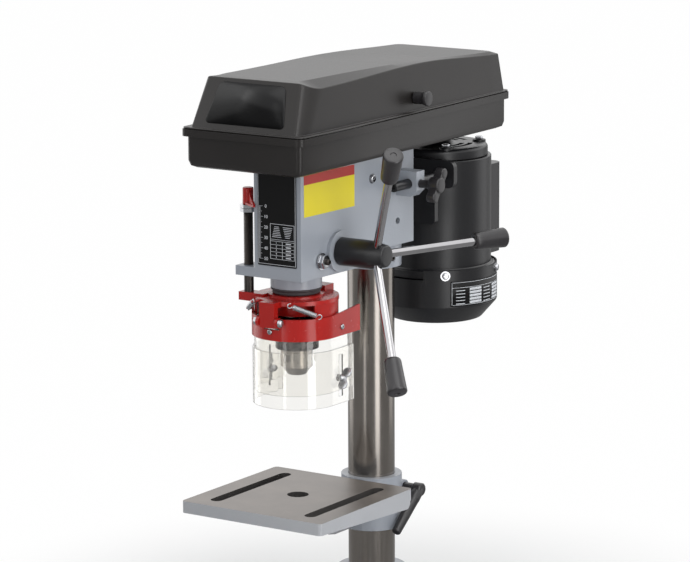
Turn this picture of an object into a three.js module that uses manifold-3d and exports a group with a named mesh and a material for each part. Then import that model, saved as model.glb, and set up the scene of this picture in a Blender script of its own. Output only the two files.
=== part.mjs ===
// Benchtop drill press, in millimetres.
// +Z is up, the operator stands at -Y, and the feed handles are on +X.
// The origin is on the underside of the base, on the axis of the column.

import * as THREE from 'three';
import { mergeVertices } from 'three/addons/utils/BufferGeometryUtils.js';
import Module from 'manifold-3d';

const wasm = await Module();
wasm.setup();

// Fits
const gap = 0.3;
const loose = 0.6;
const wideGap = 0.9;
const past = 1;
const farPast = 3;

// Smoothness, in flat sides per turn
const wideSides = 24;
const roundSides = 16;
const coneSides = 14;
const smallSides = 8;
const cornerSteps = 3;

// Stand
const columnRadius = 23;
const columnWall = 3.5;
const columnTop = 480;
const baseWidth = 180;
const baseFront = 220;
const baseBack = 70;
const baseHeight = 22;
const flangeTop = 70;

// Places of the main axes
const spindleReach = 128.6;
const feedReach = 100;
const feedHeight = 405.5;
const motorReach = 119;
const tapY = -5;

// Table and its bracket
const tableTop = 170;
const tableWidth = 160;
const tableDepth = 158;
const tableThickness = 11.5;
const tiltDrop = 32;
const tiltRadius = 20;
const collarRadius = 30;
const bracketBottom = 112;
const bracketTop = 164.6;

// Head casting
const headBottom = 384.4;
const headTop = 492.7;
const faceStand = 30.4;
const headReach = spindleReach + faceStand;
const headFrontHalf = 26.5;
const headBackHalf = 36;
const headBack = 26;
const noseHeight = 10.6;
const noseRadius = 24.5;

// Quill, spindle and chuck
const quillRadius = 20;
const quillBottom = 357;
const quillTop = 470;
const spindleRadius = 8;
const spindleTop = 545;
const ringHeight = 5.7;
const pinionRadius = 12;
const pinionTeeth = 12;
const chuckBottom = 289;
const chuckTop = 354;
const sleeveBottom = 314.7;
const sleeveTop = 346;
const sleeveRadius = 21;
const jawTilt = THREE.MathUtils.degToRad(15);

// Depth stop
const rodRadius = 4.6;
const rodStud = 3;
const rodX = -41;
const rodInset = 11;
const rodY = rodInset - headReach;
const rodTop = 461.7;
const nutBottom = 444;
const nutHeight = 3.4;
const capHeight = 16;

// Guard
const discRadius = 40.5;
const discBottom = 361.5;
const collarTop = 367.5;
const bandRadius = 42.5;
const bandWall = 2;
const bandBottom = 328;
const bandTop = 349;
const bandLeg = 44.6;
const guardPivotStand = 46.2;
const guardPivotY = -(spindleReach + guardPivotStand);
const guardPivotZ = 346.5;
const shieldWall = 1.5;
const shieldLeg = 34.5;
const upperShieldBottom = 275;
const upperShieldTop = 344;
const lowerShieldBottom = 262.4;
const lowerShieldTop = 316.4;
const screwStand = 12.6;
const screwY = screwStand - spindleReach;
const screwZ = 287;

// Feed
const hubRadius = 13.5;
const hubEnd = 84;
const spokeX = 71;
const spokeRadius = 4;
const spokeRake = THREE.MathUtils.degToRad(26.3);
const spokeStart = THREE.MathUtils.degToRad(1.5);
const gripReach = 97.5;
const gripLength = 35;

// Belt case and lid
const caseWall = 2;
const caseRim = 4.4;
const rimBottom = 523;
const rimTop = 529.7;
const caseNose = 90;
const caseTail = 39;
const caseFront = spindleReach + caseNose;
const caseBack = motorReach + caseTail;
const caseFrontHalf = 68;
const caseWideHalf = 70.5;
const caseBackHalf = 64.4;
const caseWideReach = 150;
const lidTop = 578.4;
const lidHalf = 62;
const lidKnobY = -16.7;
const lidKnobZ = 544;
const lidHingeX = -74.5;

// Pulleys and belt
const pulleyBottom = 499;
const stepHeight = 11;
const spindleSteps = [31, 27, 23, 21, 19];
const motorSteps = [15, 19, 23, 25, 27];
const beltStep = 2;
const grooveDepth = 7;
const grooveFoot = 3.6;

// Motor
const motorRadius = 55.5;
const motorBottom = 350;
const bellBottom = 467;
const bellTop = 478;
const bellRadius = 52;
const fanCoverRadius = 61.5;
const fanCoverBottom = 303;
const fanCoverTop = 358.6;
const shaftRadius = 7;
const plateStand = 0.8;
const plateBackY = motorReach - motorRadius - plateStand;
const fanCoverWall = 1.5;

// Belt tension
const barX = 48;
const barZ = 458.4;
const barRadius = 4.75;
const barFront = -34;
const blockBack = 6;
const blockDepth = 14;
const knobStart = 70;

const machine = new THREE.Group();

// Materials
function paint(color, roughness, metalness) {
  return new THREE.MeshStandardMaterial({ color, roughness, metalness, flatShading: true });
}
const castGrey = paint(0x9aa2ae, 0.45, 0.1);
const groundSteel = paint(0x9b9892, 0.35, 0.9);
const brightSteel = paint(0xc8c8ca, 0.2, 1);
const darkSteel = paint(0x3a3835, 0.4, 0.8);
const blackPaint = paint(0x26262a, 0.4, 0.2);
const caseGrey = paint(0x47443f, 0.5, 0.1);
const blackPlastic = paint(0x2b2a2c, 0.5, 0);
const guardRed = paint(0xb3242a, 0.4, 0);
const clearPlastic = paint(0xeef2f2, 0.1, 0);
const rubber = paint(0x1b1a1a, 0.8, 0);
const plateBlack = paint(0x15151a, 0.4, 0);
const pulleyGrey = paint(0xb5b7ba, 0.35, 0.9);
const buttonGreen = paint(0x2c8f45, 0.4, 0);
const buttonRed = paint(0xc02026, 0.4, 0);

// A closed geometry as a solid, with its faces turned outward
function solid(geometry) {
  const bare = geometry.clone();
  bare.deleteAttribute('normal');
  bare.deleteAttribute('uv');
  const merged = mergeVertices(bare);
  const place = merged.getAttribute('position').array;
  const faces = [];
  let volume = 0;
  const a = new THREE.Vector3();
  const b = new THREE.Vector3();
  const c = new THREE.Vector3();
  for (let i = 0; i < merged.index.count; i += 3) {
    const [p, q, r] = merged.index.array.slice(i, i + 3);
    if (p === q || q === r || r === p) continue;
    faces.push([p, q, r]);
    a.fromArray(place, p * 3);
    b.fromArray(place, q * 3);
    c.fromArray(place, r * 3);
    volume += a.dot(b.cross(c));
  }
  const turned = volume < 0 ? faces.map(([p, q, r]) => [p, r, q]) : faces;
  return new wasm.Manifold(new wasm.Mesh({
    numProp: 3,
    vertProperties: new Float32Array(place),
    triVerts: new Uint32Array(turned.flat()),
  }));
}

function asSolid(shape) {
  return shape.isBufferGeometry ? solid(shape) : shape;
}

function join(...shapes) {
  return shapes.map(asSolid).reduce((whole, next) => whole.add(next));
}

function cut(shape, ...tools) {
  return tools.map(asSolid).reduce((whole, tool) => whole.subtract(tool), asSolid(shape));
}

function common(shape, other) {
  return asSolid(shape).intersect(asSolid(other));
}

// Add one named piece to the machine
function piece(name, shape, material, parent = machine) {
  const mesh = asSolid(shape).getMesh();
  const geometry = new THREE.BufferGeometry();
  geometry.setAttribute('position', new THREE.BufferAttribute(mesh.vertProperties, mesh.numProp));
  geometry.setIndex(new THREE.BufferAttribute(mesh.triVerts, 1));
  geometry.computeVertexNormals();
  const made = new THREE.Mesh(geometry, material);
  made.name = name;
  parent.add(made);
  return made;
}

function groupAt(x, y, z) {
  const group = new THREE.Group();
  group.position.set(x, y, z);
  machine.add(group);
  return group;
}

// Basic shapes
function block(x0, x1, y0, y1, z0, z1) {
  const geometry = new THREE.BoxGeometry(x1 - x0, y1 - y0, z1 - z0);
  return geometry.translate((x0 + x1) / 2, (y0 + y1) / 2, (z0 + z1) / 2);
}

// A profile of [radius, height] points turned about Z, closed on the axis or on itself
function turned(profile, sides) {
  const points = profile.map(([radius, height]) => new THREE.Vector2(radius, height));
  return new THREE.LatheGeometry(points, sides).rotateX(Math.PI / 2);
}

function rod(radius, z0, z1, sides = roundSides) {
  return turned([[0, z0], [radius, z0], [radius, z1], [0, z1]], sides);
}

function pipe(outer, inner, z0, z1, sides = wideSides) {
  return turned([[inner, z0], [outer, z0], [outer, z1], [inner, z1], [inner, z0]], sides);
}

// Turn a shape made along Z so that it lies along X or Y
function alongX(geometry) {
  return geometry.rotateY(Math.PI / 2);
}

function alongY(geometry) {
  return geometry.rotateX(-Math.PI / 2);
}

// Turns a shape drawn in (Y, Z) and raised along Z so that it lies along X
const acrossX = new THREE.Matrix4().makeBasis(
  new THREE.Vector3(0, 1, 0), new THREE.Vector3(0, 0, 1), new THREE.Vector3(1, 0, 0),
);

function at(geometry, x, y, z) {
  return geometry.translate(x, y, z);
}

// A shape of the right side, or its mirror image on the left
function mirrored(shape, side) {
  return side < 0 ? asSolid(shape).mirror([1, 0, 0]) : asSolid(shape);
}

function slab(shape, z0, z1, curveSegments = cornerSteps) {
  const geometry = new THREE.ExtrudeGeometry(shape, { depth: z1 - z0, bevelEnabled: false, curveSegments });
  return geometry.translate(0, 0, z0);
}

function polygon(points) {
  return new THREE.Shape(points.map(([x, y]) => new THREE.Vector2(x, y)));
}

function roundedRect(x0, x1, y0, y1, radius) {
  const shape = new THREE.Shape();
  shape.moveTo(x0 + radius, y0);
  shape.absarc(x1 - radius, y0 + radius, radius, -Math.PI / 2, 0);
  shape.absarc(x1 - radius, y1 - radius, radius, 0, Math.PI / 2);
  shape.absarc(x0 + radius, y1 - radius, radius, Math.PI / 2, Math.PI);
  shape.absarc(x0 + radius, y0 + radius, radius, Math.PI, Math.PI * 3 / 2);
  return shape;
}

// A hexagon across its corners, as a prism along Z
function hexagon(radius, z0, z1) {
  return rod(radius, z0, z1, 6);
}

// Rings of points, one above another, closed into a solid
function loft(rings) {
  const count = rings[0].length;
  const points = rings.flat();
  const faces = [];
  for (let level = 0; level + 1 < rings.length; level += 1) {
    for (let i = 0; i < count; i += 1) {
      const next = (i + 1) % count;
      const low = level * count;
      const high = low + count;
      faces.push(low + i, low + next, high + next, low + i, high + next, high + i);
    }
  }
  const flat = (ring) => ring.map((point) => new THREE.Vector2(point.x, point.y));
  const last = (rings.length - 1) * count;
  for (const [p, q, r] of THREE.ShapeUtils.triangulateShape(flat(rings[0]), [])) {
    faces.push(p, r, q);
  }
  for (const [p, q, r] of THREE.ShapeUtils.triangulateShape(flat(rings.at(-1)), [])) {
    faces.push(last + p, last + q, last + r);
  }
  const geometry = new THREE.BufferGeometry().setFromPoints(points);
  geometry.setIndex(faces);
  return geometry;
}

// A section of points swept through a list of frames, open with flat ends or closed in a loop
function sweep(frames, section, closed = false) {
  const rings = frames.map(({ origin, across, up }) => section.map(([u, v]) => (
    origin.clone().addScaledVector(across, u).addScaledVector(up, v)
  )));
  const count = section.length;
  const faces = [];
  const steps = closed ? rings.length : rings.length - 1;
  for (let level = 0; level < steps; level += 1) {
    const low = level * count;
    const high = ((level + 1) % rings.length) * count;
    for (let i = 0; i < count; i += 1) {
      const next = (i + 1) % count;
      faces.push(low + i, low + next, high + next, low + i, high + next, high + i);
    }
  }
  if (!closed) {
    const last = (rings.length - 1) * count;
    for (let i = 1; i + 1 < count; i += 1) {
      faces.push(0, i + 1, i);
      faces.push(last, last + i, last + i + 1);
    }
  }
  const geometry = new THREE.BufferGeometry().setFromPoints(rings.flat());
  geometry.setIndex(faces);
  return geometry;
}

function circleSection(radius, sides) {
  return Array.from({ length: sides }, (_, i) => {
    const turn = (i / sides) * Math.PI * 2;
    return [radius * Math.cos(turn), radius * Math.sin(turn)];
  });
}

// Both sides of something that is mirrored in X
const sides = [['left', -1], ['right', 1]];

// Base: a cast plate with a raised work face, ribbed pockets below and slots
const flangeRadius = 55;

function makeBase() {
  const corner = 20;
  const skin = 9;
  const rim = 14;
  const rib = 10;
  const pocketCorner = 12;
  const padHalf = 60;
  const padRise = 2;
  const padInset = 12;
  const slotX = 34;
  const slotWidth = 12;
  const slotInset = 30;
  const boltInset = 12;
  const boltHole = 4.5;
  const half = baseWidth / 2;
  const seatFront = -(flangeRadius + boltInset);
  const plate = slab(roundedRect(-half, half, -baseFront, baseBack, corner), 0, baseHeight);
  const pad = slab(
    roundedRect(-padHalf, padHalf, padInset - baseFront, seatFront, corner / 2),
    baseHeight - past, baseHeight + padRise,
  );
  const tools = [];
  for (const [, side] of sides) {
    const [x0, x1] = [side * rib / 2, side * (half - rim)].sort((a, b) => a - b);
    const pocket = roundedRect(x0, x1, rim - baseFront, seatFront, pocketCorner);
    tools.push(slab(pocket, -past, baseHeight - skin));
    const slot = roundedRect(
      side * slotX - slotWidth / 2, side * slotX + slotWidth / 2,
      slotInset - baseFront, seatFront - slotInset / 2, slotWidth / 2,
    );
    tools.push(slab(slot, -past, baseHeight + padRise + past));
    for (const y of [boltInset - baseFront, baseBack - boltInset]) {
      tools.push(at(rod(boltHole, -past, baseHeight + past, smallSides), side * (half - boltInset), y, 0));
    }
  }
  piece('base', cut(join(plate, pad), ...tools), castGrey);
}

function makeColumn() {
  const seat = baseHeight + gap;
  const plateThickness = 12;
  const neckRadius = 34;
  const fillet = 6;
  const bore = columnRadius + gap;
  const shoulder = seat + plateThickness;
  piece('column_flange', turned([
    [bore, seat],
    [flangeRadius, seat],
    [flangeRadius, shoulder],
    [neckRadius + fillet, shoulder],
    [neckRadius, shoulder + fillet],
    [neckRadius, flangeTop],
    [bore, flangeTop],
    [bore, seat],
  ], wideSides), castGrey);
  piece('column', pipe(columnRadius, columnRadius - columnWall, seat, columnTop), groundSteel);
}

// Table, its bracket on the column, the tilt bolt and the clamp lever
const tiltHeight = tableTop - tiltDrop;
const tiltJoint = -60;
const boltRadius = 5;
const bossReach = 8;

function makeBracket() {
  const armHalf = 14;
  const bossDepth = 10;
  const lugHalf = 20;
  const lugRound = 7.5;
  const split = 3;
  const columnBore = columnRadius + gap;
  const leverY = 29.5;
  const leverZ = 145.5;
  const collar = rod(collarRadius, bracketBottom, bracketTop, wideSides);
  const bar = block(-armHalf, armHalf, tiltJoint + bossDepth / 2, 0, tiltHeight - armHalf, tiltHeight + armHalf);
  const boss = at(alongY(rod(tiltRadius, 0, bossDepth)), 0, tiltJoint, tiltHeight);
  const lugs = join(
    block(-lugHalf, lugHalf, 0, leverY, leverZ - lugRound, leverZ + lugRound),
    at(alongX(rod(lugRound, -lugHalf, lugHalf)), 0, leverY, leverZ),
  );
  piece('table_bracket', cut(
    join(collar, bar, boss, lugs),
    rod(columnBore, bracketBottom - past, bracketTop + past, wideSides),
    block(-split / 2, split / 2, 0, leverY + lugRound + past, bracketBottom - past, bracketTop + past),
    at(alongY(rod(boltRadius + gap, -past, bossDepth + past)), 0, tiltJoint, tiltHeight),
    at(alongX(rod(boltRadius + gap, -lugHalf - past, lugHalf + past)), 0, leverY, leverZ),
  ), castGrey);

  const handleFoot = 5.2;
  const handleWide = 6;
  const handleWideAt = 13;
  const handleTip = 4.6;
  const handleEnd = 54.8;
  const tipRound = 1.5;
  const hubRound = 6.5;
  const hubInner = 31;
  const hubOuter = 41;
  const handleX = 36.4;
  const nutRadius = 7.2;
  const nutDepth = 7;
  const leverAngle = 129.7;
  const stud = alongX(rod(boltRadius, -lugHalf - gap - past, hubOuter - past));
  const nut = alongX(hexagon(nutRadius, -lugHalf - gap - nutDepth, -lugHalf - gap));
  const hub = alongX(rod(hubRound, hubInner, hubOuter));
  const arm = turned([
    [0, 0],
    [handleFoot, 0],
    [handleWide, handleWideAt],
    [handleTip, handleEnd - tipRound],
    [handleTip - tipRound, handleEnd],
    [0, handleEnd],
  ], roundSides);
  const handle = asSolid(arm).rotate([leverAngle, 0, 0]).translate([handleX, 0, 0]);
  const lever = join(stud, nut, hub, handle);
  piece('table_clamp_lever', lever, blackPlastic).position.set(0, leverY, leverZ);
}

function makeTable() {
  const corner = 4;
  const slotX = 54;
  const slotWidth = 12;
  const slotLength = 126;
  const holeRadius = 10.5;
  const lugDepth = 16;
  const headRadius = 8.5;
  const skirtWidth = 8;
  const skirtDeep = 19;
  const skirtDeepAt = 8;
  const skirtBack = 14.5;
  const headDepth = 7;
  const underside = tableTop - tableThickness;
  const half = tableWidth / 2;
  const centre = -(spindleReach + past / 2);
  const front = centre - tableDepth / 2;
  const back = centre + tableDepth / 2;
  const lugFront = tiltJoint - gap - lugDepth;
  const plate = slab(roundedRect(-half, half, front, back, corner), underside, tableTop);
  const lug = join(
    at(alongY(rod(tiltRadius, 0, lugDepth)), 0, lugFront, tiltHeight),
    block(-tiltRadius, tiltRadius, lugFront, lugFront + lugDepth, tiltHeight, underside + past),
  );
  const skirt = polygon([
    [front + corner, underside + past],
    [front + corner, underside],
    [back - skirtDeepAt, tableTop - skirtDeep],
    [back - corner, tableTop - skirtBack],
    [back - corner, underside + past],
  ]);
  const skirts = sides.map(([, side]) => (
    mirrored(slab(skirt, half - skirtWidth, half).applyMatrix4(acrossX), side)
  ));
  const tools = [
    at(rod(holeRadius, underside - past, tableTop + past), 0, -spindleReach, 0),
    at(alongY(rod(boltRadius + gap, -past, lugDepth + past)), 0, lugFront, tiltHeight),
  ];
  for (const [, side] of sides) {
    tools.push(slab(roundedRect(
      side * slotX - slotWidth / 2, side * slotX + slotWidth / 2,
      centre - slotLength / 2, centre + slotLength / 2, slotWidth / 2,
    ), underside - past, tableTop + past));
  }
  piece('table', cut(join(plate, lug, ...skirts), ...tools), groundSteel);

  const shank = alongY(rod(boltRadius, -gap - past, lugDepth + bossReach));
  const head = alongY(hexagon(headRadius, -gap - headDepth, -gap));
  piece('table_tilt_bolt', join(shank, head), darkSteel).position.set(0, lugFront, tiltHeight);
}

// Half width of the head casting at a place along Y
function headHalfAt(y) {
  const share = (y + headReach) / (headReach + headBack);
  return headFrontHalf + (headBackHalf - headFrontHalf) * share;
}

const noseBottom = headBottom - noseHeight;
const feedBossRadius = 20;
const feedBossX = 32.2;
const shelfThickness = 9.1;
const lockY = -128;
const lockZ = 399.7;
const lockRadius = 3;
const blockOuter = 58;
const journalRadius = pinionRadius - gap;
const pinionHalf = 10;
const knobShaft = 4;
const sleeveShaft = 15;

function makeHead() {
  const stepY = -70;
  const rearBottom = 397;
  const bossBottom = 374;
  const corner = 5;
  const shelfLeft = 48.6;
  const shelfDepth = 22;
  const shelfHole = rodRadius + loose;
  const blockHalf = 12.3;
  const blockChamfer = 6;
  const cavityHalf = 22;
  const cavityFront = -84;
  const cavityBack = -36;
  const roof = 12;
  const sleeveHole = sleeveShaft + gap;
  const quillBore = quillRadius + gap;
  const tapHole = 3.5;
  const tapLowRise = 9.2;
  const tapHighRise = 36.2;
  const tapLow = bossBottom + tapLowRise;
  const tapHigh = headBottom + tapHighRise;
  const bodyPlan = polygon([
    [-headFrontHalf, -headReach],
    [headFrontHalf, -headReach],
    [headBackHalf, headBack - corner],
    [headBackHalf - corner, headBack],
    [corner - headBackHalf, headBack],
    [-headBackHalf, headBack - corner],
  ]);
  const body = cut(
    slab(bodyPlan, headBottom, headTop),
    block(-headBackHalf - past, headBackHalf + past, stepY, headBack + past, headBottom - past, rearBottom),
  );
  const nose = at(rod(noseRadius, noseBottom, headBottom + past, wideSides), 0, -spindleReach, 0);
  const columnBoss = rod(collarRadius, bossBottom, headTop - past, wideSides);
  const feedBoss = at(alongX(rod(feedBossRadius, -feedBossX, feedBossX)), 0, -feedReach, feedHeight);
  const shelf = block(
    -shelfLeft, -headFrontHalf + past, -headReach, shelfDepth - headReach,
    headBottom, headBottom + shelfThickness,
  );
  const wing = polygon([
    [-blockOuter, barZ - blockHalf + blockChamfer],
    [blockChamfer - blockOuter, barZ - blockHalf],
    [blockOuter - blockChamfer, barZ - blockHalf],
    [blockOuter, barZ - blockHalf + blockChamfer],
    [blockOuter, barZ + blockHalf],
    [-blockOuter, barZ + blockHalf],
  ]);
  const wings = slab(wing, 0, blockDepth).rotateX(Math.PI / 2).translate(0, blockBack, 0);
  const tools = [
    at(rod(quillBore, noseBottom - past, quillTop + past, wideSides), 0, -spindleReach, 0),
    at(rod(sleeveHole, quillTop, headTop + past), 0, -spindleReach, 0),
    rod(columnRadius + gap, bossBottom - past, columnTop + gap, wideSides),
    block(-cavityHalf, cavityHalf, cavityFront, cavityBack, headBottom - past, headTop - roof),
    at(alongX(rod(pinionRadius + gap, -pinionHalf - past, feedBossX + past)), 0, -feedReach, feedHeight),
    at(alongX(rod(spindleRadius + gap, -feedBossX - past, 0)), 0, -feedReach, feedHeight),
    at(rod(shelfHole, headBottom - past, headBottom + shelfThickness + past, smallSides), rodX, rodY, 0),
    at(alongX(rod(lockRadius + gap, quillRadius - past, headBackHalf, smallSides)), 0, lockY, lockZ),
  ];
  for (const z of [tapLow, tapHigh]) {
    tools.push(at(alongX(rod(tapHole, columnRadius - farPast, headBackHalf + past, smallSides)), 0, tapY, z));
  }
  for (const [, side] of sides) {
    const barHole = alongY(rod(barRadius + gap, -blockDepth - past, past, roundSides));
    tools.push(at(barHole, side * barX, blockBack, barZ));
    const reach = [side * barX, side * (blockOuter + past)].sort((a, b) => a - b);
    const screwHole = alongX(rod(knobShaft + gap, ...reach));
    tools.push(at(screwHole, 0, blockBack - blockDepth / 2, barZ));
  }
  piece('head_casting', cut(join(body, nose, columnBoss, feedBoss, shelf, wings), ...tools), castGrey);
}

function makeHeadFittings() {
  const plateHalf = 21.8;
  const plateThickness = 0.8;
  const plateBottom = 397;
  const plateTop = 491;
  piece('scale_plate', block(
    -plateHalf, plateHalf, -headReach - gap - plateThickness, -headReach - gap, plateBottom, plateTop,
  ), plateBlack);

  const lockNut = 6.2;
  const nutDepth = 5;
  const screwEnd = 4.5;
  const seat = headHalfAt(lockY) + loose;
  piece('quill_lock_screw', join(
    alongX(rod(lockRadius, quillRadius + loose, seat + nutDepth + screwEnd, smallSides)),
    alongX(hexagon(lockNut, seat, seat + nutDepth)),
  ), darkSteel).position.set(0, lockY, lockZ);
}

// Spiral return spring of the quill and the cap that holds it, left of the head
const capRadius = 27;
const capDepth = 13.5;
const capWall = 1.6;
const stubRadius = 5;

function makeReturnSpring() {
  const inner = feedBossX + gap;
  const outer = inner + capDepth;
  const group = groupAt(0, -feedReach, feedHeight);
  piece('return_spring_cap', alongX(turned([
    [stubRadius + gap, inner],
    [stubRadius + gap, inner + capWall],
    [capRadius - capWall, inner + capWall],
    [capRadius - capWall, outer],
    [capRadius, outer],
    [capRadius, inner],
    [stubRadius + gap, inner],
  ].map(([radius, depth]) => [radius, -(inner + outer - depth)]), roundSides)), blackPaint, group);

  const turns = 3;
  const stepsPerTurn = 12;
  const strip = 0.8;
  const stripWidth = 9;
  const startRadius = spindleRadius + gap + strip / 2;
  const endRadius = capRadius - capWall - gap - strip / 2;
  const section = [[-strip / 2, 0], [strip / 2, 0], [strip / 2, stripWidth], [-strip / 2, stripWidth]];
  const frames = [];
  for (let i = 0; i <= turns * stepsPerTurn; i += 1) {
    const turn = (i / stepsPerTurn) * Math.PI * 2;
    const radius = startRadius + (endRadius - startRadius) * (i / (turns * stepsPerTurn));
    const across = new THREE.Vector3(0, Math.cos(turn), Math.sin(turn));
    const origin = across.clone().multiplyScalar(radius).setX(-inner - wideGap);
    frames.push({ origin, across, up: new THREE.Vector3(-1, 0, 0) });
  }
  piece('return_spring', sweep(frames, section), brightSteel, group);
}

// Switch box on the left of the head, with its two buttons
const buttonRadius = 8;
const buttonTravel = 2.5;
const boxOuter = 58;
const boxFrontY = -107;
const boxBackY = -57;
const boxBottomZ = 438;
const boxTopZ = 490;

function makeSwitch() {
  const wellDepth = 12;
  const buttonLength = 10;
  const spacing = 24;
  const centreY = (boxFrontY + boxBackY) / 2;
  const centreZ = (boxBottomZ + boxTopZ) / 2;
  const plan = polygon([
    [-boxOuter, boxFrontY],
    [-headHalfAt(boxFrontY) - loose, boxFrontY],
    [-headHalfAt(boxBackY) - loose, boxBackY],
    [-boxOuter, boxBackY],
  ]);
  const wells = [];
  const buttons = [['start_button', buttonGreen, 1], ['stop_button', buttonRed, -1]];
  for (const [name, colour, up] of buttons) {
    const z = centreZ + up * spacing / 2;
    const well = alongX(rod(buttonRadius + gap, -boxOuter - past, wellDepth - boxOuter));
    wells.push(at(well, 0, centreY, z));
    const start = -boxOuter - buttonTravel;
    piece(name, alongX(rod(buttonRadius, start, start + buttonLength)), colour).position.set(0, centreY, z);
  }
  piece('switch_box', cut(slab(plan, boxBottomZ, boxTopZ), ...wells), blackPlastic);
}

// Feed: pinion shaft, hub, three raked spokes and their grips
const stubLead = 12;

function makeFeed() {
  const group = groupAt(0, -feedReach, feedHeight);
  const toothDepth = 2;
  const rootRadius = journalRadius - toothDepth;
  const gear = new THREE.Shape();
  const toothShares = [-0.3, -0.16, 0.16, 0.3];
  for (let tooth = 0; tooth < pinionTeeth; tooth += 1) {
    toothShares.forEach((share, i) => {
      const angle = ((tooth + share) / pinionTeeth) * Math.PI * 2;
      const radius = i === 0 || i === toothShares.length - 1 ? rootRadius : journalRadius;
      const [x, y] = [radius * Math.cos(angle), radius * Math.sin(angle)];
      if (tooth === 0 && i === 0) gear.moveTo(x, y);
      else gear.lineTo(x, y);
    });
  }
  const journalStart = 14;
  const hubDepth = 26;
  const hubStart = feedBossX + gap;
  const boreEnd = hubStart + hubDepth;
  const stubStart = -feedBossX + past;
  const stubEnd = -(feedBossX + loose + capDepth);
  const stubNut = 8;
  const nutDepth = 5;
  const shaft = alongX(turned([
    [0, stubEnd - nutDepth],
    [stubNut, stubEnd - nutDepth],
    [stubNut, stubEnd],
    [stubRadius, stubEnd],
    [stubRadius, stubStart - stubLead],
    [spindleRadius, stubStart - stubLead],
    [spindleRadius, journalStart],
    [journalRadius, journalStart],
    [journalRadius, feedBossX],
    [spindleRadius, feedBossX],
    [spindleRadius, boreEnd - past],
    [0, boreEnd - past],
  ], roundSides));
  const teeth = alongX(slab(gear, -pinionHalf, pinionHalf));
  piece('pinion_shaft', join(shaft, teeth), groundSteel, group);

  const chamfer = 3;
  const rootDistance = 6;
  const holeDistance = rootDistance - past / 2;
  const outer = (radial) => radial / Math.cos(spokeRake);
  const gripStart = outer(gripReach);
  const spokeEnd = gripStart + gripLength / 3;
  const placed = (shape, index) => {
    const turn = spokeStart + (index * Math.PI * 2) / 3;
    return asSolid(shape)
      .rotate([0, THREE.MathUtils.radToDeg(spokeRake), 0])
      .rotate([THREE.MathUtils.radToDeg(turn) - 90, 0, 0])
      .translate([spokeX, 0, 0]);
  };
  const hub = alongX(turned([
    [spindleRadius + gap, hubStart],
    [hubRadius, hubStart],
    [hubRadius, hubEnd - chamfer],
    [hubRadius - chamfer, hubEnd],
    [0, hubEnd],
    [0, boreEnd],
    [spindleRadius + gap, boreEnd],
    [spindleRadius + gap, hubStart],
  ], roundSides));
  const holes = [];
  for (let index = 0; index < 3; index += 1) {
    const number = index + 1;
    holes.push(placed(rod(spokeRadius + gap, outer(holeDistance), outer(gripReach)), index));
    const spoke = rod(spokeRadius, outer(rootDistance), spokeEnd, roundSides);
    piece(`spoke_${number}`, placed(spoke, index), brightSteel, group);
    const thin = 8.3;
    const thick = 9.6;
    const edge = 2;
    const bore = spokeRadius + gap;
    const grip = turned([
      [bore, gripStart],
      [thin - edge - past, gripStart],
      [thin, gripStart + edge + past],
      [thick, gripStart + gripLength - edge],
      [thick - edge, gripStart + gripLength],
      [0, gripStart + gripLength],
      [0, spokeEnd + gap],
      [bore, spokeEnd + gap],
      [bore, gripStart],
    ], roundSides);
    piece(`feed_grip_${number}`, placed(grip, index), blackPlastic, group);
  }
  piece('feed_hub', cut(hub, ...holes), blackPaint, group);
}

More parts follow.
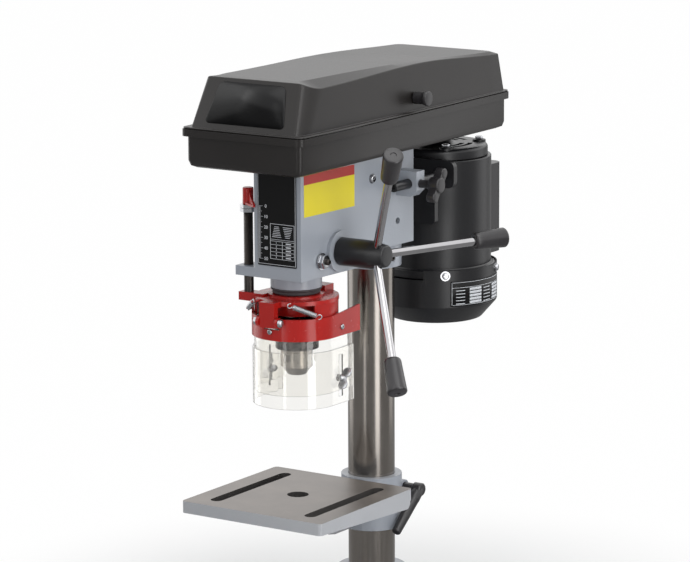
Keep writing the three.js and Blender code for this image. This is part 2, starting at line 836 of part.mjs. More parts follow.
// Quill with its rack, bump ring, depth rod and what it carries
function makeQuill() {
  const group = groupAt(0, -spindleReach, 0);
  const bearing = 12;
  const relief = 12;
  const spindleBore = spindleRadius + gap;
  const rackFlat = spindleReach - feedReach - pinionRadius;
  const rackPitch = (Math.PI * 2 * pinionRadius) / pinionTeeth;
  const rackBottom = 394;
  const rackTeeth = 11;
  const toothDepth = 2.2;
  const tube = turned([
    [spindleBore, quillBottom],
    [quillRadius, quillBottom],
    [quillRadius, quillTop],
    [spindleBore, quillTop],
    [spindleBore, quillTop - bearing],
    [relief, quillTop - bearing],
    [relief, quillBottom + bearing],
    [spindleBore, quillBottom + bearing],
    [spindleBore, quillBottom],
  ], wideSides);
  const flat = block(
    -quillRadius, quillRadius, rackFlat, quillRadius + past, rackBottom, rackBottom + rackTeeth * rackPitch,
  );
  const notches = Array.from({ length: rackTeeth }, (_, i) => {
    const z = rackBottom + (i + 1 / 2) * rackPitch;
    return block(
      -quillRadius, quillRadius, rackFlat - toothDepth, quillRadius, z - rackPitch / 4, z + rackPitch / 4,
    );
  });
  piece('quill', cut(tube, flat, ...notches), groundSteel, group);

  const ringBottom = collarTop + gap;
  const lip = 2;
  piece('quill_bump_ring', turned([
    [quillRadius + gap, ringBottom],
    [noseRadius - lip, ringBottom],
    [noseRadius, ringBottom + lip],
    [noseRadius, ringBottom + ringHeight],
    [quillRadius + gap, ringBottom + ringHeight],
    [quillRadius + gap, ringBottom],
  ], wideSides), rubber, group);

  const studFoot = nutBottom + nutHeight + gap + nutHeight;
  piece('depth_stop_rod', turned([
    [0, earBottom],
    [rodRadius, earBottom],
    [rodRadius, studFoot],
    [rodStud, studFoot],
    [rodStud, rodTop],
    [0, rodTop],
  ], smallSides), darkSteel).position.set(rodX, rodY, 0);
  const nutRadius = 8;
  const firstNut = cut(hexagon(nutRadius, 0, nutHeight), rod(rodRadius + gap, -past, nutHeight + past, smallSides));
  piece('depth_nut_lower', firstNut, darkSteel).position.set(rodX, rodY, nutBottom);
  piece('depth_nut_upper', firstNut, darkSteel).position.set(rodX, rodY, nutBottom + nutHeight + gap);

  const capRound = 5.4;
  const capBottom = studFoot + gap;
  const pointerThickness = 2;
  const tipX = -24;
  const cap = cut(
    rod(capRound, capBottom, capBottom + capHeight, roundSides),
    rod(rodStud + gap, capBottom - past, rodTop + gap, smallSides),
  );
  const pointerStand = 2.4;
  const faceClear = rodInset + pointerStand;
  const arm = slab(polygon([
    [-capRound / 2, -capRound / 2],
    [-capRound / 3, -faceClear - pointerThickness],
    [tipX - rodX, -faceClear - pointerThickness / 2],
    [tipX - rodX, -faceClear],
    [capRound, -faceClear],
    [capRound / 2, -capRound + past],
  ]), capBottom, capBottom + pointerThickness);
  const bored = cut(arm, rod(rodStud + gap, capBottom - past, capBottom + pointerThickness + past, smallSides));
  piece('depth_pointer', join(cap, bored), guardRed).position.set(rodX, rodY, 0);
}

// Spindle, chuck body, sleeve and three jaws
function makeSpindle() {
  const group = groupAt(0, -spindleReach, 0);
  const shoulderRadius = 9;
  const taperTop = 7.9;
  const taperFoot = 7.3;
  const taperLength = 22;
  const taperEnd = chuckTop - taperLength;
  piece('spindle', turned([
    [0, taperEnd],
    [taperFoot, taperEnd],
    [taperTop, chuckTop],
    [taperTop, chuckTop + gap],
    [shoulderRadius, chuckTop + gap],
    [shoulderRadius, quillBottom - gap],
    [spindleRadius, quillBottom - gap],
    [spindleRadius, spindleTop],
    [0, spindleTop],
  ], coneSides), groundSteel, group);

  const noseTip = 8.5;
  const noseRound = 15;
  const noseCone = 7.8;
  const hubRound = 17.2;
  const topRound = 19.5;
  const topCone = 4;
  const mouth = 7;
  const web = 4;
  const keyRadius = 3;
  const keyHeight = 306;
  const body = turned([
    [mouth, chuckBottom],
    [noseTip, chuckBottom],
    [noseRound, chuckBottom + noseCone],
    [noseRound, sleeveBottom],
    [hubRound, sleeveBottom + past],
    [hubRound, sleeveTop],
    [topRound, sleeveTop + gap],
    [topRound, chuckTop - topCone],
    [topRound - topCone, chuckTop],
    [taperTop + gap, chuckTop],
    [taperFoot + gap, taperEnd - gap],
    [mouth, taperEnd - gap],
    [mouth, chuckBottom],
  ], roundSides);
  const jawRadius = 3.2;
  const jawLength = 24;
  const jawFoot = 2.2;
  const jawBottom = chuckBottom - past;
  const jawTravel = 20.5;
  const inclined = (shape, angle) => asSolid(shape)
    .rotate([0, THREE.MathUtils.radToDeg(jawTilt), 0])
    .translate([jawFoot, 0, jawBottom])
    .rotate([0, 0, angle]);
  const holes = [];
  for (let index = 0; index < 3; index += 1) {
    const angle = 90 + index * 120;
    const slot = rod(jawRadius + gap, -farPast, jawLength + jawTravel + past, smallSides);
    holes.push(inclined(slot, angle));
    const key = alongX(rod(keyRadius, noseRound - web, noseRound + past, smallSides));
    holes.push(asSolid(key).translate([0, 0, keyHeight]).rotate([0, 0, angle + 60]));
    const grip = 0.75;
    const halfWedge = THREE.MathUtils.degToRad(59);
    const reach = sleeveRadius;
    const wedge = polygon([
      [grip, 0],
      [grip + reach * Math.cos(halfWedge), -reach * Math.sin(halfWedge)],
      [grip + reach + sleeveRadius, 0],
      [grip + reach * Math.cos(halfWedge), reach * Math.sin(halfWedge)],
    ]);
    const sector = asSolid(slab(wedge, jawBottom, sleeveTop)).rotate([0, 0, angle]);
    const stock = inclined(rod(jawRadius, -farPast, jawLength, smallSides), angle);
    piece(`chuck_jaw_${index + 1}`, common(stock, sector), darkSteel, group);
  }
  piece('chuck_body', cut(body, ...holes), groundSteel, group);

  const teeth = 12;
  const toothHeight = 5;
  const toothDepth = 2;
  const sleeve = pipe(sleeveRadius, hubRound + gap, sleeveBottom, sleeveTop, wideSides);
  const notches = Array.from({ length: teeth }, (_, i) => {
    const width = (Math.PI * sleeveRadius) / teeth;
    const notch = block(
      sleeveRadius - toothDepth, sleeveRadius + past, -width / 2, width / 2,
      sleeveBottom - past, sleeveBottom + toothHeight,
    );
    return asSolid(notch).rotate([0, 0, (i / teeth) * 360]);
  });
  piece('chuck_sleeve', cut(sleeve, ...notches), groundSteel, group);
}

// Guard collar on the quill, with the ear of the depth rod and the hinge lug
const earThickness = 8.1;
const earBottom = collarTop - earThickness;
const lugHalfWidth = 8.5;
const lugFront = 3.2;
const lugBack = 3.1;
const lugBottomZ = 341.5;
const hingeRadius = 2;
const springWire = 0.8;
const springRadius = 2.5;
const upperRise = 1.8;
const lowerRise = 2.5;
const springUpper = { radius: 46, angle: THREE.MathUtils.degToRad(-63.2), height: discBottom + upperRise };
const springLower = { radius: 45.8, angle: THREE.MathUtils.degToRad(-27.7), height: bandTop + lowerRise };
const pinRadius = 1.2;

function springPin(place, inner, side) {
  const pin = alongX(rod(pinRadius, inner, place.radius + springRadius - springWire / 2, smallSides));
  const angle = THREE.MathUtils.radToDeg(place.angle);
  return asSolid(pin).rotate([0, 0, angle]).translate([0, 0, place.height])
    .mirror(side < 0 ? [1, 0, 0] : [0, 0, 0]);
}

// Part of a ring between two angles, in degrees
function arcWall(outer, inner, z0, z1, from, to) {
  const shape = new THREE.Shape();
  const start = THREE.MathUtils.degToRad(from);
  const end = THREE.MathUtils.degToRad(to);
  shape.moveTo(outer * Math.cos(start), outer * Math.sin(start));
  shape.absarc(0, 0, outer, start, end);
  shape.absarc(0, 0, inner, end, start, true);
  const steps = Math.max(2, Math.round(((to - from) / 360) * wideSides));
  return slab(shape, z0, z1, steps);
}

function makeGuardCollar() {
  const group = groupAt(0, -spindleReach, 0);
  const discThickness = 4;
  const bossRadius = 27;
  const bossBottom = 349;
  const skirtDrop = 2.4;
  const skirtOuter = bandRadius - bandWall - loose;
  const skirtWall = 2.6;
  const skirtFrom = -30;
  const skirtTo = 62;
  const lugTop = 365.5;
  const lugStem = 360;
  const clampHalf = 15;
  const clampTop = 371;
  const clampBack = 41;
  const clampSplit = 3;
  const earLeft = -48.6;
  const earHalf = 6.5;
  const lugLocal = spindleReach + guardPivotY;
  const earLocal = spindleReach + rodY;
  const parts = [
    rod(discRadius, discBottom, discBottom + discThickness, wideSides),
    rod(bossRadius, bossBottom, collarTop, wideSides),
    block(-lugHalfWidth, lugHalfWidth, lugLocal - lugFront, lugLocal + lugBack, lugBottomZ, lugTop),
    block(-lugHalfWidth, lugHalfWidth, lugLocal - lugFront, -discRadius / 2, lugStem, lugTop),
    block(-clampHalf, clampHalf, bossRadius - past, clampBack, bossBottom, clampTop),
    block(earLeft, -discRadius / 2, earLocal - earHalf, earLocal + earHalf, earBottom, collarTop),
  ];
  for (const [, side] of sides) {
    parts.push(mirrored(
      arcWall(skirtOuter, skirtOuter - skirtWall, bandTop - skirtDrop, discBottom + past, skirtFrom, skirtTo),
      side,
    ));
    parts.push(springPin(springUpper, discRadius - past, side));
  }
  const pivot = alongX(rod(hingeRadius + gap, -lugHalfWidth - past, lugHalfWidth + past, smallSides));
  const tools = [
    rod(quillRadius + gap, bossBottom - past, clampTop + past, wideSides),
    block(-clampSplit / 2, clampSplit / 2, 0, clampBack + past, bossBottom - past, clampTop + past),
    at(rod(rodRadius + gap, earBottom - past, collarTop + past, smallSides), rodX, earLocal, 0),
    at(pivot, 0, lugLocal, guardPivotZ),
  ];
  piece('guard_collar', cut(join(...parts), ...tools), guardRed, group);
}

// A wall bent to a U: half round at the front, straight legs to the rear, in local Y
function bentWall(outer, wall, leg, z0, z1) {
  const inner = outer - wall;
  const shape = new THREE.Shape();
  shape.moveTo(outer, leg);
  shape.lineTo(inner, leg);
  shape.absarc(0, 0, inner, 0, -Math.PI, true);
  shape.lineTo(-inner, leg);
  shape.lineTo(-outer, leg);
  shape.absarc(0, 0, outer, -Math.PI, 0);
  return slab(shape, z0, z1, wideSides / 2);
}

const earGap = lugHalfWidth + gap;
const earWall = 3.2;

function makeGuard() {
  const group = groupAt(0, -spindleReach, 0);
  const rise = 4;
  const notchDepth = 8;
  const earRadius = 5;
  const tabHalf = 2.2;
  const tabRise = 5;
  const bandInner = bandRadius - bandWall;
  const upperOuter = bandInner - gap;
  const lowerOuter = upperOuter + gap + shieldWall;
  const pivotY = guardPivotY + spindleReach;
  const band = bentWall(bandRadius, bandWall, bandLeg, bandBottom, bandTop);
  const legTop = polygon([
    [0, bandTop - past],
    [bandLeg, bandTop - past],
    [bandLeg, bandTop + rise],
    [0, bandTop],
  ]);
  const parts = [band];
  for (const [, side] of sides) {
    const gusset = slab(legTop, bandInner, bandRadius).rotateX(Math.PI / 2).rotateZ(Math.PI / 2);
    parts.push(mirrored(gusset, side));
    const tab = block(bandInner, bandRadius, -tabHalf, tabHalf, bandTop - farPast, bandTop + tabRise);
    const angle = THREE.MathUtils.radToDeg(springLower.angle);
    parts.push(mirrored(asSolid(tab).rotate([0, 0, angle]), side));
    parts.push(springPin(springLower, bandInner + gap, side));
    const ear = join(
      alongX(rod(earRadius, earGap, earGap + earWall)).translate(0, pivotY, guardPivotZ),
      block(
        earGap, earGap + earWall, pivotY, -bandInner + earWall,
        guardPivotZ - earRadius, guardPivotZ + earRadius / 2,
      ),
    );
    const outside = cut(ear, rod(bandInner, bandBottom, bandTop + earRadius, wideSides));
    parts.push(mirrored(outside, side));
  }
  const hole = alongX(rod(hingeRadius + gap, -bandRadius / 2, bandRadius / 2, smallSides));
  const notch = block(
    -earGap, earGap, -bandRadius - past, -bandInner + farPast, guardPivotZ - notchDepth, bandTop + past,
  );
  piece('guard_band', cut(join(...parts), at(hole, 0, pivotY, guardPivotZ), notch), guardRed, group);

  const boltStart = -(earGap + earWall + gap);
  const boltHead = 3.5;
  const headRadius = 4.2;
  piece('guard_hinge_bolt', join(
    alongX(rod(hingeRadius, boltStart - past, -boltStart + past, smallSides)),
    alongX(hexagon(headRadius, -boltStart, boltHead - boltStart)),
    alongX(hexagon(headRadius, boltStart - boltHead, boltStart)),
  ), brightSteel).position.set(0, guardPivotY, guardPivotZ);

  const holeTool = () => at(
    alongX(rod(hingeRadius + gap, -bandRadius - past, bandRadius + past, smallSides)),
    0, screwY + spindleReach, screwZ,
  );
  const upper = bentWall(upperOuter, shieldWall, shieldLeg, upperShieldBottom, upperShieldTop);
  const lugClear = block(
    -earGap - earWall - gap, earGap + earWall + gap, -bandRadius, -upperOuter + shieldWall + past,
    guardPivotZ - notchDepth, upperShieldTop + past,
  );
  piece('upper_shield', cut(upper, holeTool(), lugClear), clearPlastic, group);
  const slotHalf = 2.8;
  const slotDown = 17.5;
  const slotUp = 22.6;
  const lower = bentWall(lowerOuter, shieldWall, shieldLeg, lowerShieldBottom, lowerShieldTop);
  const slotY = screwY + spindleReach;
  const slots = block(
    -bandRadius, bandRadius, slotY - slotHalf, slotY + slotHalf, screwZ - slotDown, screwZ + slotUp,
  );
  piece('lower_shield', cut(lower, slots), clearPlastic, group);

  const headInner = upperOuter - shieldWall - gap;
  const headDepth = 2;
  const screwHead = 3.8;
  const hubOuter = lowerOuter + gap;
  const hubDepth = 5;
  const wingReach = 10;
  const wingHeight = 4;
  const wingThickness = 1.8;
  const wingTilt = 55;
  for (const [name, side] of sides) {
    const wing = slab(polygon([
      [hubOuter + past, 0],
      [hubOuter + hubDepth, -wingReach],
      [hubOuter + hubDepth + wingHeight, -wingReach],
      [hubOuter + hubDepth, 0],
      [hubOuter + hubDepth + wingHeight, wingReach],
      [hubOuter + hubDepth, wingReach],
    ]), -wingThickness / 2, wingThickness / 2);
    const screw = join(
      alongX(rod(hingeRadius, headInner - past, hubOuter + past, smallSides)),
      alongX(hexagon(screwHead, headInner - headDepth, headInner)),
      alongX(rod(screwHead, hubOuter, hubOuter + hubDepth, smallSides)),
      wing,
    ).rotate([wingTilt, 0, 0]);
    piece(`wing_screw_${name}`, mirrored(screw, side), brightSteel).position.set(0, screwY, screwZ);
  }
}

// Points of a guard spring: a hook round each pin and close curls between them
function springPath() {
  const hookRadius = 2.2;
  const stepsPerCurl = 8;
  const curls = 12;
  const coilRadius = springRadius - springWire / 2;
  const place = ({ radius, angle, height }) => new THREE.Vector3(
    radius * Math.cos(angle), radius * Math.sin(angle), height,
  );
  const [start, end] = [place(springUpper), place(springLower)];
  const forward = end.clone().sub(start).normalize();
  const outward = new THREE.Vector3(
    Math.cos((springUpper.angle + springLower.angle) / 2),
    Math.sin((springUpper.angle + springLower.angle) / 2),
    0,
  );
  const side = new THREE.Vector3().crossVectors(forward, outward).normalize();
  const out = new THREE.Vector3().crossVectors(side, forward).normalize();
  const points = [];
  const hookSteps = 6;
  const hookTurn = Math.PI * 1.5;
  const hook = (centre, heading, from) => {
    for (let i = 0; i <= hookSteps; i += 1) {
      const turn = from + (i / hookSteps) * hookTurn;
      points.push(centre.clone()
        .addScaledVector(heading, -hookRadius * Math.cos(turn))
        .addScaledVector(side, hookRadius * Math.sin(turn)));
    }
  };
  hook(start, forward, -Math.PI / 2);
  const length = end.distanceTo(start);
  const hookClear = 1.2;
  const lead = hookRadius + hookClear;
  const pitch = (length - 2 * lead) / curls;
  for (let i = 0; i <= curls * stepsPerCurl; i += 1) {
    const turn = (i / stepsPerCurl) * Math.PI * 2 + Math.PI;
    points.push(start.clone()
      .addScaledVector(forward, lead + (i / stepsPerCurl) * pitch)
      .addScaledVector(side, coilRadius * Math.sin(turn))
      .addScaledVector(out, -coilRadius * Math.cos(turn)));
  }
  hook(end, forward.clone().negate(), Math.PI);
  return points;
}

// A round tube of few sides through a list of points
function wireThrough(points, radius, sidesOfWire) {
  const frames = [];
  let across = new THREE.Vector3(0, 0, 1);
  points.forEach((point, i) => {
    const before = points[Math.max(i - 1, 0)];
    const after = points[Math.min(i + 1, points.length - 1)];
    const heading = after.clone().sub(before).normalize();
    across = across.clone().addScaledVector(heading, -across.dot(heading)).normalize();
    const up = new THREE.Vector3().crossVectors(heading, across);
    frames.push({ origin: point, across, up });
  });
  return sweep(frames, circleSection(radius, sidesOfWire));
}

// Least distance between stretches of a path that are not next to each other
function leastGap(points, wire, apart) {
  let least = Infinity;
  points.forEach((point, i) => {
    for (let j = i + apart; j < points.length; j += 1) {
      least = Math.min(least, point.distanceTo(points[j]) - wire);
    }
  });
  return least;
}

function makeSprings() {
  const points = springPath();
  const sidesOfWire = 5;
  const wire = wireThrough(points, springWire / 2, sidesOfWire);
  const group = groupAt(0, -spindleReach, 0);
  for (const [name, side] of sides) {
    piece(`guard_spring_${name}`, mirrored(wire, side), brightSteel, group);
  }
  console.log(`guard spring least gap ${leastGap(points, springWire, 7).toFixed(2)} mm`);
}

// Outline of the belt case at one inset: front corners, straight sides, rear corners
function caseHalfAt(y) {
  if (y < -caseWideReach) {
    const share = (y + caseFront) / (caseFront - caseWideReach);
    return caseFrontHalf + (caseWideHalf - caseFrontHalf) * share;
  }
  const share = (y + caseWideReach) / (caseBack + caseWideReach);
  return caseWideHalf + (caseBackHalf - caseWideHalf) * share;
}

function outlineRing({ front, back, halfAt, roundFront, roundBack, heightAt, sideSteps }) {
  const arcSteps = 4;
  const right = [];
  const arc = (y, radius, from) => {
    for (let i = 0; i <= arcSteps; i += 1) {
      const turn = from + (i / arcSteps) * (Math.PI / 2);
      right.push([halfAt(y) - radius + radius * Math.cos(turn), y + radius * Math.sin(turn)]);
    }
  };
  arc(front + roundFront, roundFront, -Math.PI / 2);
  const from = front + roundFront;
  const to = back - roundBack;
  for (let i = 1; i < sideSteps; i += 1) {
    const y = from + (to - from) * (i / sideSteps);
    right.push([halfAt(y), y]);
  }
  arc(to, roundBack, 0);
  const left = right.map(([x, y]) => [-x, y]).reverse();
  return [...right, ...left].map(([x, y]) => new THREE.Vector3(x, y, heightAt(x, y)));
}

const caseRoundFront = 7;
const caseRoundBack = 8;
const caseBottom = headTop + gap;

function caseRing(inset, height) {
  return outlineRing({
    front: inset - caseFront,
    back: caseBack - inset,
    halfAt: (y) => caseHalfAt(y) - inset,
    roundFront: Math.max(caseRoundFront - inset / 2, past),
    roundBack: Math.max(caseRoundBack - inset, past),
    heightAt: () => height,
    sideSteps: 3,
  });
}

const hingeKnuckle = 2.6;
const hingePin = 1.3;
const hingeLength = 12;
const hingePlaces = [-110, 70];
const slideTravel = 12;

function makeCase() {
  const round = 7;
  const share = 1 - Math.SQRT1_2;
  const shell = (inset, bottom, top) => loft([
    caseRing(inset + round, bottom),
    caseRing(inset + round * share, bottom + round * share),
    caseRing(inset, bottom + round),
    caseRing(inset, top),
  ]);
  const outer = shell(caseRim, caseBottom, rimTop - past);
  const inner = shell(caseRim + caseWall, caseBottom + caseWall, rimTop + past);
  const rim = loft([caseRing(0, rimBottom), caseRing(0, rimTop)]);
  const parts = [outer, rim];
  const axisZ = rimTop + gap / 2;
  for (const y of hingePlaces) {
    const edge = -caseHalfAt(y);
    for (const end of [-1, 1]) {
      const [y0, y1] = [y + end * hingeLength / 2, y + end * hingeLength].sort((a, b) => a - b);
      parts.push(at(alongY(rod(hingeKnuckle, y0, y1, smallSides)), lidHingeX, 0, axisZ));
      parts.push(block(lidHingeX, edge + past, y0, y1, axisZ - hingeKnuckle, rimTop));
    }
    parts.push(at(alongY(rod(hingePin, y - hingeLength, y + hingeLength, smallSides)), lidHingeX, 0, axisZ));
  }
  const sleeveHole = sleeveShaft + wideGap;
  const shaftClear = 2.1;
  const shaftHole = shaftRadius + shaftClear;
  piece('pulley_case', cut(
    join(...parts),
    inner,
    at(rod(sleeveHole, caseBottom - past, caseBottom + caseWall + past), 0, -spindleReach, 0),
    slab(
      roundedRect(-shaftHole, shaftHole, motorReach - slideTravel - shaftHole, motorReach + shaftHole, shaftHole),
      caseBottom - past, caseBottom + caseWall + past,
    ),
  ), caseGrey);
}

// A height that runs straight between places along Y, given as [y, height] pairs
function heightAlong(places, y) {
  const last = places.at(-1);
  if (y <= places[0][0]) return places[0][1];
  for (let i = 1; i < places.length; i += 1) {
    const [y0, z0] = places[i - 1];
    const [y1, z1] = places[i];
    if (y <= y1) return z0 + (z1 - z0) * ((y - y0) / (y1 - y0));
  }
  return last[1];
}

const knobShank = 3;

function makeLid() {
  const lip = 1.4;
  const crownRound = 3;
  const lipInset = 1;
  const lidSteps = 6;
  const seat = rimTop + gap;
  const noseInset = 5;
  const tailInset = 5.5;
  const slopeFront = 31;
  const slopeBack = 22;
  const footFront = caseFront - noseInset;
  const footBack = caseBack - tailInset;
  const topFront = caseFront - slopeFront;
  const topBack = caseBack - slopeBack;
  const shoulderOut = 7;
  const shoulderIn = 6;
  const footRound = 6;
  const shoulderHalf = 59;
  const roundTop = 8;
  const rise = lidTop - seat;
  const shoulderShares = [[-0.85, 0.83], [-0.42, 0.88], [-0.05, 0.975], [0.3, 0.93], [0.72, 0.79], [1, 0.77]];
  const crownShares = [[-1, 1], [0, 0.985], [0.6, 0.885], [1, 0.83]];
  const crownHalfShares = [[-1, 0.76], [-0.6, 0.72], [0, 0.86], [0.6, 0.9], [1, 0.9]];
  const along = (shares, scale) => shares.map(([share, value]) => [
    share * (share < 0 ? caseFront : caseBack), value * scale,
  ]);
  const shoulder = along(shoulderShares, rise);
  const crown = along(crownShares, rise);
  const crownHalf = along(crownHalfShares, lidHalf);
  const skin = (wall) => {
    const shoulderFront = wall - topFront - shoulderOut;
    const shoulderTop = (x, y) => {
      const lift = THREE.MathUtils.smoothstep(-y, -shoulderFront - roundTop, -shoulderFront);
      const corner = THREE.MathUtils.smoothstep(Math.abs(x), shoulderHalf - roundTop - wall, shoulderHalf - wall);
      const side = heightAlong(shoulder, y);
      return seat + THREE.MathUtils.lerp(side, rise - past, lift * (1 - corner)) - wall;
    };
    const foot = (height) => outlineRing({
      front: wall - footFront,
      back: footBack - wall,
      halfAt: () => lidHalf - wall,
      roundFront: footRound,
      roundBack: caseRoundBack,
      heightAt: () => height,
      sideSteps: lidSteps,
    });
    return loft([
      foot(wall > 0 ? seat - past : seat),
      foot(seat + lip),
      outlineRing({
        front: shoulderFront,
        back: footBack - shoulderIn - wall,
        halfAt: () => shoulderHalf - wall,
        roundFront: roundTop,
        roundBack: caseRoundBack,
        heightAt: shoulderTop,
        sideSteps: lidSteps,
      }),
      outlineRing({
        front: wall - topFront,
        back: topBack - wall,
        halfAt: (y) => heightAlong(crownHalf, y) - wall,
        roundFront: crownRound,
        roundBack: caseRoundBack,
        heightAt: (x, y) => seat + heightAlong(crown, y) - wall,
        sideSteps: lidSteps,
      }),
    ]);
  };
  const lipRing = loft([caseRing(lipInset, seat), caseRing(lipInset, seat + lip)]);
  const parts = [skin(0), lipRing];
  const axisZ = rimTop + gap / 2;
  const bores = [];
  for (const y of hingePlaces) {
    const half = hingeLength / 2 - gap;
    parts.push(at(alongY(rod(hingeKnuckle, y - half, y + half, smallSides)), lidHingeX, 0, axisZ));
    parts.push(block(lidHingeX, farPast - caseHalfAt(y), y - half, y + half, seat, seat + lip));
    bores.push(at(
      alongY(rod(hingePin + gap, y - hingeLength, y + hingeLength, smallSides)), lidHingeX, 0, axisZ,
    ));
  }
  const knobHole = at(alongX(rod(knobShank + gap, 0, lidHalf + farPast, smallSides)), 0, lidKnobY, lidKnobZ);
  piece('lid', cut(join(...parts), skin(caseWall), knobHole, ...bores), caseGrey);

  const knobRadius = 6;
  const headRadius = 7;
  const headDepth = 4;
  const knobLength = 15.5;
  const start = lidHalf + gap;
  const inside = 10;
  piece('lid_knob', alongX(turned([
    [0, start - inside],
    [knobShank, start - inside],
    [knobShank, start],
    [knobRadius, start],
    [knobRadius, start + knobLength - headDepth],
    [headRadius, start + knobLength - headDepth + past],
    [headRadius, start + knobLength - past],
    [headRadius - past, start + knobLength],
    [0, start + knobLength],
  ], roundSides)), blackPlastic).position.set(0, lidKnobY, lidKnobZ);
}

// A stepped V pulley from its step radii, bottom step first
function pulleyProfile(steps, bore, bottom) {
  const profile = [[bore, bottom]];
  steps.forEach((radius, i) => {
    const low = bottom + i * stepHeight;
    const middle = low + stepHeight / 2;
    profile.push([radius, low]);
    profile.push([radius - grooveDepth, middle - grooveFoot / 2]);
    profile.push([radius - grooveDepth, middle + grooveFoot / 2]);
    profile.push([radius, low + stepHeight]);
  });
  profile.push([bore, bottom + steps.length * stepHeight]);
  return profile;
}

function makeDrive() {
  const spindleGroup = groupAt(0, -spindleReach, 0);
  const sleeveFoot = quillTop + farPast;
  const bore = spindleRadius + gap;
  const cone = pulleyProfile(spindleSteps, bore, pulleyBottom);
  piece('spindle_pulley', turned([
    [bore, sleeveFoot],
    [sleeveShaft, sleeveFoot],
    [sleeveShaft, pulleyBottom],
    ...cone.slice(1),
    [bore, sleeveFoot],
  ], coneSides), pulleyGrey, spindleGroup);

  const motorGroup = groupAt(0, motorReach, 0);
  const motorBore = shaftRadius + gap;
  const motorCone = pulleyProfile(motorSteps, motorBore, pulleyBottom);
  piece('motor_pulley', turned([...motorCone, motorCone[0]], coneSides), pulleyGrey, motorGroup);

  // The belt lies in the middle grooves, so both pulleys turn at one speed
  const height = pulleyBottom + (beltStep + 1 / 2) * stepHeight;
  const topHalf = 3.9;
  const footHalf = 1.6;
  const beltDepth = 5.4;
  const sink = 0.4;
  const outer = spindleSteps[beltStep] - sink;
  const section = [[0, -topHalf], [0, topHalf], [-beltDepth, footHalf], [-beltDepth, -footHalf]];
  const frames = [];
  const arcSteps = 12;
  const bend = (y, from) => {
    for (let i = 0; i <= arcSteps; i += 1) {
      const turn = from + (i / arcSteps) * Math.PI;
      const across = new THREE.Vector3(Math.cos(turn), Math.sin(turn), 0);
      const origin = across.clone().multiplyScalar(outer).add(new THREE.Vector3(0, y, height));
      frames.push({ origin, across, up: new THREE.Vector3(0, 0, 1) });
    }
  };
  bend(motorReach, 0);
  bend(-spindleReach, Math.PI);
  piece('v_belt', sweep(frames, section, true), rubber);
}

